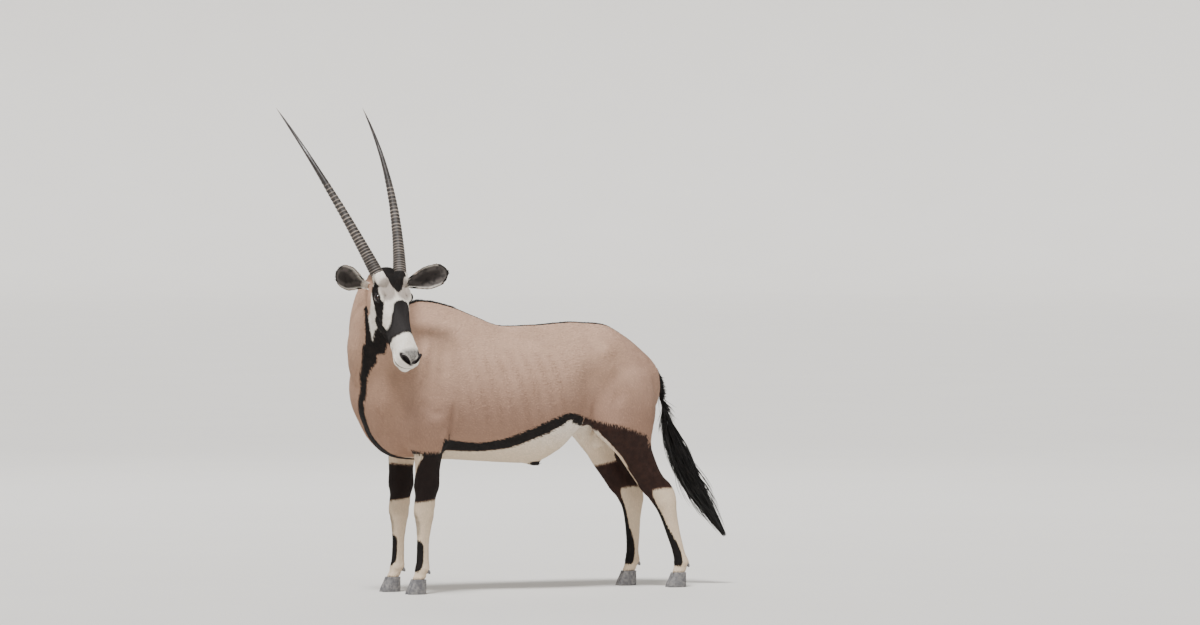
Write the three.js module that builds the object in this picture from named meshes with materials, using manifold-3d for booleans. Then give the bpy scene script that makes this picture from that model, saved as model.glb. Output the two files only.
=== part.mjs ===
// A life-size gemsbok bull that stands still and looks back over its left side.
// Millimetres, +Z up. The trunk faces -X and the animal's left side faces -Y. The hooves stand on z = 0.
import * as THREE from "three";
import { mergeVertices } from "three/addons/utils/BufferGeometryUtils.js";
import Module from "manifold-3d";

const wasm = await Module();
wasm.setup();

// Driving sizes. The tables below are drawn for a bull 1200 mm high at the withers, and SIZE scales them all.
const WITHERS = 1200;
const SIZE = WITHERS / 1200;
// Two nodes that touch keep this gap, and the horns, ears and dock stand this far off the flesh under them.
const GAP = 0.3;
const SEAT = 0.45;
const LEFT = 1;
const RIGHT = -1;
const SIDES = { left: LEFT, right: RIGHT };

// Finishes, with the colour of the hair or horn that covers most of each piece.
const finish = (color, roughness) => new THREE.MeshStandardMaterial({ color, roughness, metalness: 0 });
const COAT = finish(0xa8907f, 0.85);
const MASK = finish(0xe4ded4, 0.85);
const SOCK = finish(0xd8d0c6, 0.85);
const TAIL_HAIR = finish(0x14110f, 0.6);
const KERATIN = finish(0x4a423c, 0.45);
const HOOF = finish(0x2c2825, 0.5);
const EYE_WET = finish(0x1a100a, 0.08);

const vec = (x, y, z) => new THREE.Vector3(x, y, z);
const radians = THREE.MathUtils.degToRad;

// Directions of a section whose normal is turned by yaw from straight ahead (-X) to the animal's left (-Y)
// and lifted by pitch above the horizon. "left" runs across the section and "back" to its dorsal side.
function directions(yaw, pitch) {
  const turn = radians(yaw);
  const lift = radians(pitch);
  const ahead = vec(-Math.cos(turn), -Math.sin(turn), 0);
  const up = vec(0, 0, 1);
  return {
    normal: ahead.clone().multiplyScalar(Math.cos(lift)).addScaledVector(up, Math.sin(lift)),
    left: vec(Math.sin(turn), -Math.cos(turn), 0),
    back: ahead.clone().multiplyScalar(-Math.sin(lift)).addScaledVector(up, Math.cos(lift)),
  };
}

// Slopes of a curve through (knots, values) that never overshoots its points.
function slopes(knots, values) {
  const last = knots.length - 1;
  const step = (i) => knots[i + 1] - knots[i];
  const rise = (i) => (values[i + 1] - values[i]) / step(i);
  return knots.map((_, i) => {
    if (i === 0) return rise(0);
    if (i === last) return rise(last - 1);
    if (rise(i - 1) * rise(i) <= 0) return 0;
    const before = 2 * step(i) + step(i - 1);
    const after = step(i) + 2 * step(i - 1);
    return (before + after) / (before / rise(i - 1) + after / rise(i));
  });
}

// A function of distance that runs smoothly through the rows of a table, column by column.
function through(knots, rows) {
  const columns = rows[0].map((_, c) => rows.map((row) => row[c]));
  const slope = columns.map((column) => slopes(knots, column));
  return (at) => {
    let i = 0;
    while (i < knots.length - 2 && at > knots[i + 1]) i += 1;
    const h = knots[i + 1] - knots[i];
    const t = Math.min(Math.max((at - knots[i]) / h, 0), 1);
    const t2 = t * t;
    const t3 = t2 * t;
    return columns.map(
      (column, c) =>
        (2 * t3 - 3 * t2 + 1) * column[i] +
        (t3 - 2 * t2 + t) * h * slope[c][i] +
        (3 * t2 - 2 * t3) * column[i + 1] +
        (t3 - t2) * h * slope[c][i + 1],
    );
  };
}

// A closed geometry through rings of points, each ring with the same count, capped by a fan at both ends.
function hull(rings) {
  const count = rings[0].length;
  const middle = (ring) => ring.reduce((sum, p) => sum.add(p), vec(0, 0, 0)).divideScalar(count);
  const points = [...rings.flat(), middle(rings[0]), middle(rings.at(-1))];
  const faces = [];
  const first = rings.length * count;
  const lastRing = (rings.length - 1) * count;
  for (let k = 0; k < count; k += 1) {
    const next = (k + 1) % count;
    faces.push(first, next, k, first + 1, lastRing + k, lastRing + next);
    for (let r = 0; r + 1 < rings.length; r += 1) {
      const [a, b, c, d] = [r * count + k, r * count + next, (r + 1) * count + next, (r + 1) * count + k];
      faces.push(a, b, c, a, c, d);
    }
  }
  const geometry = new THREE.BufferGeometry().setFromPoints(points);
  geometry.setIndex(faces);
  return geometry;
}

// The same round a closed loop of rings, which needs no caps.
function loop(rings) {
  const count = rings[0].length;
  const faces = [];
  rings.forEach((_, r) => {
    const ahead = (r + 1) % rings.length;
    for (let k = 0; k < count; k += 1) {
      const next = (k + 1) % count;
      const [a, b, c, d] = [r * count + k, r * count + next, ahead * count + next, ahead * count + k];
      faces.push(a, b, c, a, c, d);
    }
  });
  const geometry = new THREE.BufferGeometry().setFromPoints(rings.flat());
  geometry.setIndex(faces);
  return geometry;
}

// A solid of a closed geometry. One that is inside out is turned round.
function solid(geometry) {
  const plain = geometry.clone();
  plain.deleteAttribute("normal");
  plain.deleteAttribute("uv");
  const merged = mergeVertices(plain, 1e-3);
  const corners = merged.index.array;
  const whole = [];
  for (let i = 0; i < corners.length; i += 3) {
    const [a, b, c] = [corners[i], corners[i + 1], corners[i + 2]];
    if (a !== b && b !== c && a !== c) whole.push(a, b, c);
  }
  const build = (triVerts) =>
    new wasm.Manifold(
      new wasm.Mesh({
        numProp: 3,
        vertProperties: new Float32Array(merged.attributes.position.array),
        triVerts: new Uint32Array(triVerts),
      }),
    );
  const made = build(whole);
  if (made.volume() > 0) return made;
  const turned = [];
  for (let i = 0; i < whole.length; i += 3) turned.push(whole[i], whole[i + 2], whole[i + 1]);
  return build(turned);
}

const join = (pieces) => pieces.reduce((whole, piece) => whole.add(piece));
const largest = (made) => made.decompose().reduce((a, b) => (a.volume() >= b.volume() ? a : b));

// The signed power that squares or sharpens one quarter of a section.
const shaped = (value, power) => Math.sign(value) * Math.abs(value) ** power;

// One section: half is its half width, rise and drop its dorsal and ventral reach. A peak over 1 makes that
// side a ridge or keel, and one under 1 flattens it.
function section(centre, frame, size, sides) {
  const ring = [];
  for (let k = 0; k < sides; k += 1) {
    const angle = (2 * Math.PI * k) / sides;
    const s = Math.sin(angle);
    const across = size.half * shaped(Math.cos(angle), s >= 0 ? size.ridge : size.keel);
    const along = s * (s >= 0 ? size.rise : size.drop);
    ring.push(centre.clone().addScaledVector(frame.left, across).addScaledVector(frame.back, along));
  }
  return ring;
}

// Distances along a body: evenly spread between its round ends, and closer together over each of them.
function spread(length, count, roundStart, roundEnd) {
  const places = [];
  const cap = 4;
  const nearPole = 0.12;
  if (roundStart) {
    for (let k = 0; k < cap; k += 1) {
      const angle = nearPole + ((Math.PI / 2 - nearPole) * k) / cap;
      places.push(roundStart * (1 - Math.cos(angle)));
    }
  }
  for (let k = 0; k <= count; k += 1) {
    places.push(roundStart + ((length - roundStart - roundEnd) * k) / count);
  }
  if (roundEnd) {
    for (let k = cap - 1; k >= 0; k -= 1) {
      const angle = nearPole + ((Math.PI / 2 - nearPole) * k) / cap;
      places.push(length - roundEnd * (1 - Math.cos(angle)));
    }
  }
  return places;
}

// How far a round end has opened at a distance from its pole, as a quarter of an ellipse.
const opening = (distance, round) =>
  round > 0 && distance < round ? Math.sqrt(Math.max(1 - (1 - distance / round) ** 2, 0)) : 1;

// A smooth curve through rows of numbers whose first three are a point, by distance along those points.
function curveOf(rows) {
  const knots = [0];
  for (let i = 1; i < rows.length; i += 1) {
    knots.push(knots[i - 1] + Math.hypot(...[0, 1, 2].map((k) => rows[i][k] - rows[i - 1][k])));
  }
  return { length: knots.at(-1), at: through(knots, rows) };
}

// Rows of [x, y, z, yaw, pitch, half, rise, drop, ridge, keel] at the built size, each section made larger by
// a margin.
const sized = (rows, margin = 0) =>
  rows.map(([x, y, z, yaw, pitch, half, rise, drop, ridge, keel]) => [
    ...[x, y, z].map((v) => v * SIZE),
    ...[yaw, pitch],
    ...[half, rise, drop].map((v) => v * SIZE + margin),
    ...[ridge, keel],
  ]);

// A body carried through such rows, with a round end where a length is given for it.
function body(rows, { margin = 0, count = 12, sides = 16, roundStart = 0, roundEnd = 0 } = {}) {
  const curve = curveOf(sized(rows, margin));
  const [start, end] = [roundStart * SIZE, roundEnd * SIZE];
  const rings = spread(curve.length, count, start, end).map((distance) => {
    const [x, y, z, yaw, pitch, half, rise, drop, ridge, keel] = curve.at(distance);
    const open = Math.min(opening(distance, start), opening(curve.length - distance, end));
    const size = { half: half * open, rise: rise * open, drop: drop * open, ridge, keel };
    return section(vec(x, y, z), directions(yaw, pitch), size, sides);
  });
  return solid(hull(rings));
}

// A round tube through points, and one that closes on itself.
function tube(points, radius, steps, sides, closed = false) {
  const path = new THREE.CatmullRomCurve3(points, closed);
  const frames = path.computeFrenetFrames(steps, closed);
  const rings = Array.from({ length: closed ? steps : steps + 1 }, (_, i) => {
    const centre = path.getPointAt(i / steps);
    return Array.from({ length: sides }, (_unused, k) => {
      const angle = (2 * Math.PI * k) / sides;
      return centre
        .clone()
        .addScaledVector(frames.normals[i], radius * Math.cos(angle))
        .addScaledVector(frames.binormals[i], radius * Math.sin(angle));
    });
  });
  return solid(closed ? loop(rings) : hull(rings));
}

// A ball stretched along three directions.
function ball(centre, axes, sizes, segments = 12) {
  const sphere = new THREE.SphereGeometry(1, segments, Math.round(segments * 0.7));
  const stretch = axes.map((axis, i) => axis.clone().multiplyScalar(sizes[i] * SIZE));
  sphere.applyMatrix4(new THREE.Matrix4().makeBasis(...stretch).setPosition(centre));
  return solid(sphere);
}

// A half space on the side that a normal points to, moved along that normal by a shift.
const REACH = 3000;
function beyond(point, normal, shift = 0) {
  const box = new THREE.BoxGeometry(REACH, REACH, REACH).translate(0, 0, REACH / 2 + shift);
  const turn = new THREE.Quaternion().setFromUnitVectors(vec(0, 0, 1), normal.clone().normalize());
  return solid(box.applyQuaternion(turn).translate(point.x, point.y, point.z));
}

// A block between two corners.
function block(low, high) {
  const size = high.clone().sub(low);
  const middle = low.clone().add(high).multiplyScalar(0.5);
  return solid(new THREE.BoxGeometry(size.x, size.y, size.z).translate(middle.x, middle.y, middle.z));
}

// A flat lock of hair: a four-sided blade along a curve of centres, wide across and thin through, that is
// full near its root and tapers to a point.
const LOCK_SHAPE = [
  [0, 0.75],
  [0.35, 1],
  [0.75, 0.62],
  [1, 0.05],
];
function lock(centreAt, across, through_, width, thick) {
  const rings = LOCK_SHAPE.map(([t, full]) => {
    const centre = centreAt(t);
    return [
      centre.clone().addScaledVector(across(t), width * full),
      centre.clone().addScaledVector(through_(t), thick * full),
      centre.clone().addScaledVector(across(t), -width * full),
      centre.clone().addScaledVector(through_(t), -thick * full),
    ];
  });
  return solid(hull(rings));
}

// Seeded draws, so that every build varies the locks in the same way.
function draws(seed) {
  let state = seed;
  return (low, high) => {
    state = (state * 1664525 + 1013904223) % 4294967296;
    return low + ((high - low) * state) / 4294967296;
  };
}

// The trunk, from the chest to the buttocks. Each row is an upright section that faces forward.
const TRUNK = [
  // x, y, z of the widest level, yaw, pitch, half width, rise to the back, drop to the belly, ridge, keel
  [-776, 0, 850, 0, 0, 96, 140, 130, 1.1, 1.1],
  [-728, 0, 835, 0, 0, 126, 190, 152, 1.1, 1.15],
  [-686, 0, 826, 0, 0, 146, 240, 206, 1.1, 1.2],
  [-640, 0, 826, 0, 0, 158, 280, 250, 1.15, 1.2],
  [-590, 0, 830, 0, 0, 168, 320, 276, 1.25, 1.2],
  [-480, 0, 840, 0, 0, 180, 368, 296, 1.45, 1.1],
  [-370, 0, 840, 0, 0, 188, 352, 296, 1.4, 1.05],
  [-240, 0, 838, 0, 0, 202, 304, 302, 1.3, 1],
  [-110, 0, 836, 0, 0, 214, 262, 309, 1.2, 1],
  [30, 0, 842, 0, 0, 220, 257, 318, 1.15, 1],
  [130, 0, 868, 0, 0, 212, 238, 300, 1.15, 1],
  [230, 0, 900, 0, 0, 190, 209, 244, 1.1, 1],
  [340, 0, 905, 0, 0, 176, 196, 216, 1.1, 1],
  [440, 0, 880, 0, 0, 162, 172, 196, 1.15, 1],
  [530, 0, 850, 0, 0, 136, 132, 160, 1.15, 1],
  [592, 0, 835, 0, 0, 104, 90, 110, 1.1, 1],
];
const TRUNK_FORM = { count: 20, sides: 22, roundStart: 80, roundEnd: 46 };

// The neck rises from the chest and bends to the left until it meets the head.
const NECK = [
  [-440, 0, 930, 0, 20, 144, 255, 300, 1.3, 1.1],
  [-560, 0, 975, 4, 34, 142, 238, 262, 1.3, 1.1],
  [-643, -20, 1035, 16, 44, 130, 190, 212, 1.3, 1.05],
  [-694, -62, 1110, 38, 52, 114, 148, 165, 1.25, 1],
  [-714, -112, 1180, 62, 52, 100, 118, 126, 1.2, 1],
  [-718, -160, 1232, 84, 38, 90, 90, 106, 1.1, 1],
  [-719, -205, 1256, 96, 12, 80, 66, 92, 1.1, 1],
];
const NECK_FORM = { count: 13, sides: 18 };

// The head has its own frame: forth from the poll to the muzzle, left across it, and up out of the forehead.
const HEAD_AT = [-719, -205, 1276];
const HEAD_YAW = 99;
const HEAD_PITCH = -57;
const headFrame = directions(HEAD_YAW, HEAD_PITCH);
const headAxes = [headFrame.normal, headFrame.left, headFrame.back];
const headward = (...amounts) =>
  headAxes.reduce((sum, axis, i) => sum.addScaledVector(axis, amounts[i]), vec(0, 0, 0));
const inHead = (forth, left, up) => headward(forth, left, up).add(vec(...HEAD_AT)).multiplyScalar(SIZE);

// Its sections: forth, height of the widest level, half width, rise, drop, ridge, keel.
const HEAD = [
  [-60, 4, 48, 42, 50, 1, 1],
  [-38, 8, 64, 54, 84, 0.95, 1],
  [0, 13, 74, 54, 122, 0.9, 1],
  [44, 17, 81, 50, 154, 0.85, 1.1],
  [86, 19, 83, 44, 158, 0.85, 1.15],
  [120, 15, 74, 43, 146, 0.85, 1.2],
  [156, 9, 63, 45, 128, 0.9, 1.2],
  [200, 2, 54, 46, 104, 0.95, 1.15],
  [258, -2, 47, 48, 80, 1, 1.05],
  [310, -4, 50, 48, 66, 0.95, 0.95],
  [346, -8, 56, 46, 60, 0.85, 0.9],
  [390, -12, 53, 40, 50, 0.85, 0.9],
];
const HEAD_ROWS = HEAD.map(([forth, level, ...rest]) => [
  ...inHead(forth, 0, level).divideScalar(SIZE).toArray(),
  ...[HEAD_YAW, HEAD_PITCH],
  ...rest,
]);
const MUZZLE_ROUND = 34;
const HEAD_FORM = { count: 15, sides: 18, roundStart: 16, roundEnd: MUZZLE_ROUND };
const headShape = through(HEAD.map((row) => row[0]), HEAD.map((row) => row.slice(1)));

// The size of the head's section at a distance forth, where the round muzzle closes it.
function headSize(forth) {
  const [level, half, rise, drop, ridge, keel] = headShape(forth);
  const open = opening(HEAD.at(-1)[0] - forth, MUZZLE_ROUND);
  return { level, half: half * open, rise: rise * open, drop: drop * open, ridge, keel };
}

// A point of the head's skin at a height on one side, sunk under it or raised by a lift.
function headSkin(forth, up, side, lift = 0) {
  const { level, half, rise, drop, ridge, keel } = headSize(forth);
  const share = up >= level ? (up - level) / rise : (level - up) / drop;
  const power = up >= level ? ridge : keel;
  const across = half * Math.sqrt(Math.max(1 - share * share, 0)) ** power;
  return inHead(forth, side * (across + lift), up);
}

// A point of the top of the head's skin at a distance left of its midline.
function headTop(forth, left) {
  const { level, half, rise, ridge } = headSize(forth);
  return inHead(forth, left, level + rise * Math.sqrt(1 - Math.abs(left / half) ** (2 / ridge)));
}

// A point of the round front of the muzzle, by how far it lies out and up.
function muzzleFront(left, up, lift = 0) {
  const end = HEAD.at(-1);
  const [level, half, rise, drop] = end.slice(1);
  const share = Math.min(Math.hypot(left / half, (up - level) / (up >= level ? rise : drop)), 1);
  return inHead(end[0] + lift - MUZZLE_ROUND * (1 - Math.sqrt(1 - share * share)), left, up);
}

// Legs, as horizontal sections from the top down: z, x of the left leg, x of the right leg, distance out from
// the midline, half width, reach forward, reach aft.
const FORE_LEG = [
  [1040, -430, -430, 95, 40, 70, 90],
  [900, -480, -480, 118, 60, 120, 130],
  [760, -510, -510, 126, 64, 125, 135],
  [650, -502, -508, 120, 58, 88, 112],
  [590, -494, -509, 115, 49, 57, 80],
  [500, -490, -514, 110, 40, 48, 58],
  [445, -492, -514, 108, 37, 52, 60],
  [400, -496, -518, 106, 35, 41, 50],
  [360, -499, -521, 105, 35, 42, 45],
  [325, -500, -522, 105, 36, 41, 44],
  [282, -502, -524, 105, 28, 31, 37],
  [200, -506, -526, 105, 21, 24, 29],
  [140, -507, -528, 105, 21.5, 25, 30],
  [105, -509, -531, 105, 26, 28, 34],
  [78, -516, -540, 105, 24, 26, 28],
  [62, -522, -548, 105, 27, 30, 27],
];
const HIND_LEG = [
  [960, 360, 355, 88, 60, 120, 150],
  [860, 385, 375, 102, 80, 160, 160],
  [760, 385, 372, 108, 80, 158, 162],
  [670, 386, 364, 110, 70, 132, 148],
  [600, 411, 374, 106, 56, 84, 115],
  [540, 450, 401, 104, 46, 62, 93],
  [459, 513, 461, 102, 38, 66, 73],
  [410, 557, 504, 100, 33, 76, 73],
  [365, 584, 527, 100, 33, 57, 60],
  [330, 600, 536, 100, 31, 47, 45],
  [277, 617, 538, 100, 26, 38, 35],
  [215, 636, 540, 100, 23, 33, 29],
  [150, 655, 537, 100, 22, 28, 27],
  [100, 667, 534, 100, 26, 30, 35],
  [76, 662, 526, 100, 24, 28, 29],
  [62, 656, 520, 100, 27, 31, 28],
];
const LEG_FORM = { count: 22, sides: 12 };
const LEGS = {
  fore: { rows: FORE_LEG, top: 562, front: -640, rear: -390, inner: 55 },
  hind: { rows: HIND_LEG, top: 640, front: 255, rear: 760, inner: 1 },
};
const legX = (row, side) => (side === LEFT ? row[1] : row[2]);
const legRows = (rows, side) =>
  rows.map((row) => [legX(row, side), -side * row[3], row[0], 0, -90, ...row.slice(4), 1, 1]);

// Two dewclaws behind each fetlock: how high, how far behind the leg's line and how far apart.
const DEWCLAW = { z: 92, aft: 28, apart: 13, sizes: [11, 8, 14] };
function dewclaws(leg, side) {
  const fetlock = leg.rows.at(-3);
  return [-1, 1].map((way) => {
    const y = -side * fetlock[3] + way * DEWCLAW.apart;
    const centre = vec(legX(fetlock, side) + DEWCLAW.aft, y, DEWCLAW.z).multiplyScalar(SIZE);
    return ball(centre, [vec(1, 0, 0), vec(0, 1, 0), vec(0, 0, 1)], DEWCLAW.sizes, 6);
  });
}

// The sheath under the belly.
const SHEATH = [
  [-20, 0, 552, 0, -10, 34, 24, 26, 1, 1],
  [30, 0, 536, 180, -10, 26, 20, 22, 1, 1],
  [66, 0, 522, 180, -20, 13, 12, 13, 1, 1],
];

// Where the pieces part: the neck from the trunk, and the head from the neck behind the ears and the jaw.
const NECK_CUT = { point: vec(-620, 0, 950).multiplyScalar(SIZE), normal: vec(-0.8, 0, 0.6) };
const HEAD_CUT = { point: inHead(-48, 0, 20), normal: headward(0.74, 0, 0.67) };
const HEAD_REGION = { low: [-120, -180, -160], high: [440, 180, 170] };

// The block that holds one leg below its cut, made larger on every side by a margin.
function legRegion(leg, side, margin) {
  const [near, far] = [leg.inner * SIZE - margin, 400 * SIZE];
  const low = vec(leg.front * SIZE - margin, side === LEFT ? -far : near, -50);
  const high = vec(leg.rear * SIZE + margin, side === LEFT ? -near : far, leg.top * SIZE + margin);
  return block(low, high);
}

// The space of the head: a block in the head's own frame, cut off behind the ears and the jaw.
function headRegion(margin) {
  const { low, high } = HEAD_REGION;
  const size = high.map((v, i) => (v - low[i]) * SIZE + 2 * margin);
  const middle = high.map((v, i) => (v + low[i]) / 2);
  const box = new THREE.BoxGeometry(...size).applyMatrix4(new THREE.Matrix4().makeBasis(...headAxes));
  box.translate(...inHead(...middle).toArray());
  return solid(box).intersect(beyond(HEAD_CUT.point, HEAD_CUT.normal, -margin));
}

// All the flesh in one piece, and the same a little larger, which what stands on it is cut back by.
const trunkNeckHead = (margin) => [
  body(TRUNK, { ...TRUNK_FORM, margin }),
  body(NECK, { ...NECK_FORM, margin }),
  body(HEAD_ROWS, { ...HEAD_FORM, margin }),
];
const legBodies = Object.values(LEGS).flatMap((leg) =>
  [LEFT, RIGHT].flatMap((side) => [body(legRows(leg.rows, side), LEG_FORM), ...dewclaws(leg, side)]),
);
const sheath = body(SHEATH, { count: 5, sides: 10, roundEnd: 8 });
const flesh = join([...trunkNeckHead(0), ...legBodies, sheath]);
const seat = join(trunkNeckHead(SEAT));

function torso() {
  const legs = Object.values(LEGS).flatMap((leg) => [LEFT, RIGHT].map((side) => legRegion(leg, side, GAP)));
  return largest(flesh.subtract(join([...legs, beyond(NECK_CUT.point, NECK_CUT.normal)])));
}

// The neck carries a short mane of flat locks along its crest, which lie back towards the withers.
const MANE = { count: 18, start: 0.2, end: 0.93, length: 66, width: 19, thick: 7, sunk: 12 };
function neck() {
  const bare = flesh.intersect(beyond(NECK_CUT.point, NECK_CUT.normal, GAP)).subtract(headRegion(GAP));
  const curve = curveOf(sized(NECK));
  const draw = draws(7);
  const locks = Array.from({ length: MANE.count }, (_, i) => {
    const share = MANE.start + ((MANE.end - MANE.start) * (i + draw(-0.2, 0.2))) / (MANE.count - 1);
    const [x, y, z, yaw, pitch, , rise] = curve.at(share * curve.length);
    const frame = directions(yaw, pitch);
    const root = vec(x, y, z)
      .addScaledVector(frame.back, rise - MANE.sunk * SIZE)
      .addScaledVector(frame.left, draw(-5, 5) * SIZE);
    const length = MANE.length * SIZE * draw(0.85, 1.15);
    const lean = draw(-0.12, 0.12);
    const centreAt = (t) =>
      root
        .clone()
        .addScaledVector(frame.normal, -length * (0.35 * t + 0.5 * t * t))
        .addScaledVector(frame.back, length * (0.62 * t - 0.22 * t * t))
        .addScaledVector(frame.left, length * lean * t);
    return lock(centreAt, () => frame.normal, () => frame.left, MANE.width * SIZE, MANE.thick * SIZE);
  });
  const clear = join([headRegion(GAP), beyond(NECK_CUT.point, NECK_CUT.normal.clone().negate(), -GAP)]);
  return largest(join([bare, ...locks]).subtract(clear));
}

// Eyeballs in the sides of the head, with a swelling of the orbit and two lids round each.
const EYE = { forth: 84, left: 70, up: 29, radius: 19 };
const eyeAt = (side) => inHead(EYE.forth, side * EYE.left, EYE.up);
const eyeball = (side, margin = 0) =>
  ball(eyeAt(side), headAxes, [1, 1, 1].map((v) => v * (EYE.radius + margin / SIZE)), 13);
const ORBIT = { forth: 76, left: 66, up: 35, sizes: [38, 17, 26] };
const LIDS = { long: 17.5, high: 10, tilt: 14, proud: 1.5, thick: 4.2 };
function lids(side) {
  const tilt = radians(LIDS.tilt);
  const reach = EYE.radius + LIDS.proud;
  const points = Array.from({ length: 12 }, (_, k) => {
    const angle = (2 * Math.PI * k) / 12;
    const [long, high] = [LIDS.long * Math.cos(angle), LIDS.high * Math.sin(angle)];
    const forth = long * Math.cos(tilt) + high * Math.sin(tilt);
    const up = high * Math.cos(tilt) - long * Math.sin(tilt);
    const out = Math.sqrt(reach ** 2 - long ** 2 - high ** 2);
    return inHead(EYE.forth + forth, side * (EYE.left + out), EYE.up + up);
  });
  return tube(points, LIDS.thick * SIZE, 14, 5, true);
}

// The mouth: a groove along both sides and round the front of the muzzle, between an upper and a lower lip.
const MOUTH = { corner: 292, front: 362, up: -27, groove: 2.4, lip: 8, sunk: 5.5, apart: 9 };
function mouthPath(rise, lift) {
  const up = MOUTH.up + rise;
  const along = [MOUTH.corner, (MOUTH.corner + MOUTH.front) / 2, MOUTH.front];
  const flank = (side) => along.map((forth) => headSkin(forth, up, side, lift));
  const reach = HEAD.at(-1)[2] * 0.8;
  const front = [1, 0.5, 0, -0.5, -1].map((share) => muzzleFront(share * reach, up, lift));
  return [...flank(LEFT), ...front, ...flank(RIGHT).reverse()];
}

// The nostrils: slanted pits in the front of the muzzle, each in a raised rim.
const NOSTRIL = { forth: 369, left: 22, rim: 4.5, long: 16, high: 7.5, pit: [14, 5.5, 13] };
const NOSTRIL_LONG = [-0.7, 0.62, 0.34];
const NOSTRIL_OUT = [0.62, 0.35, 0.7];
function nostrilAxes(side) {
  const long = headward(NOSTRIL_LONG[0], side * NOSTRIL_LONG[1], NOSTRIL_LONG[2]);
  const out = headward(NOSTRIL_OUT[0], side * NOSTRIL_OUT[1], NOSTRIL_OUT[2]).normalize();
  long.addScaledVector(out, -long.dot(out)).normalize();
  return { long, out, high: out.clone().cross(long) };
}
const nostrilAt = (side) => headTop(NOSTRIL.forth, side * NOSTRIL.left);
function nostrilRim(side) {
  const { long, high } = nostrilAxes(side);
  const points = Array.from({ length: 8 }, (_, k) => {
    const angle = (2 * Math.PI * k) / 8;
    return nostrilAt(side)
      .addScaledVector(long, NOSTRIL.long * SIZE * Math.cos(angle))
      .addScaledVector(high, NOSTRIL.high * SIZE * Math.sin(angle));
  });
  return tube(points, NOSTRIL.rim * SIZE, 10, 5, true);
}
function nostrilPit(side) {
  const { long, high, out } = nostrilAxes(side);
  return ball(nostrilAt(side), [long, high, out], NOSTRIL.pit, 7);
}

function head() {
  const both = (make) => [LEFT, RIGHT].map(make);
  const orbitAt = (side) => inHead(ORBIT.forth, side * ORBIT.left, ORBIT.up);
  const orbits = both((side) => ball(orbitAt(side), headAxes, ORBIT.sizes, 9));
  const lips = [1, -1].map((way) =>
    tube(mouthPath(way * MOUTH.apart, -MOUTH.sunk), MOUTH.lip * SIZE, 13, 4),
  );
  const bare = flesh.intersect(headRegion(0));
  const grown = join([bare, ...orbits, ...both(lids), ...lips, ...both(nostrilRim)]);
  const groove = tube(mouthPath(0, 0.5), MOUTH.groove * SIZE, 13, 4);
  const sockets = both((side) => eyeball(side, GAP));
  return largest(grown.subtract(join([groove, ...sockets, ...both(nostrilPit)])));
}

// Horns: set close, a little apart and bent gently back, with ring ridges over the lower half.
const HORN = {
  length: 922,
  root: [12, 47, 50],
  aim: [-1, 0.272, 0.106],
  bend: [0, -0.086, -0.188],
  rings: 22,
  ringed: [0.06, 0.56],
  ridge: 1.7,
  smooth: [0.56, 0.65, 0.74, 0.82, 0.89, 0.95, 0.985, 1],
  sides: 10,
};
const HORN_GIRTH = [
  // share of the length, radius
  [0, 28],
  [0.06, 26.8],
  [0.14, 24],
  [0.25, 20.8],
  [0.5, 14.5],
  [0.75, 8.6],
  [0.93, 4],
  [1, 1],
];
function horn(side) {
  const mirrored = ([forth, left, up]) => [forth, side * left, up];
  const length = HORN.length * SIZE;
  const aim = headward(...mirrored(HORN.aim)).normalize();
  const bend = headward(...mirrored(HORN.bend));
  const root = inHead(...mirrored(HORN.root));
  const radius = through(HORN_GIRTH.map((row) => row[0]), HORN_GIRTH.map((row) => [row[1]]));
  const ring = (t, swell) => {
    const way = aim.clone().addScaledVector(bend, 2 * t).normalize();
    const across = headFrame.left.clone().addScaledVector(way, -headFrame.left.dot(way)).normalize();
    const back = way.clone().cross(across);
    const centre = root.clone().addScaledVector(aim, t * length).addScaledVector(bend, t * t * length);
    const size = (radius(t)[0] + swell) * SIZE;
    return Array.from({ length: HORN.sides }, (_, k) => {
      const angle = (2 * Math.PI * k) / HORN.sides;
      return centre
        .clone()
        .addScaledVector(across, size * Math.cos(angle))
        .addScaledVector(back, size * Math.sin(angle));
    });
  };
  const [from, to] = HORN.ringed;
  const pitch = (to - from) / HORN.rings;
  const ridged = Array.from({ length: HORN.rings }, (_, k) => {
    const fade = Math.min(1, (HORN.rings - k) / 6);
    return [ring(from + k * pitch, 0), ring(from + (k + 0.55) * pitch, HORN.ridge * fade)];
  });
  const rings = [ring(0, 0), ...ridged.flat(), ...HORN.smooth.map((t) => ring(t, 0))];
  return largest(solid(hull(rings)).subtract(seat));
}

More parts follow.
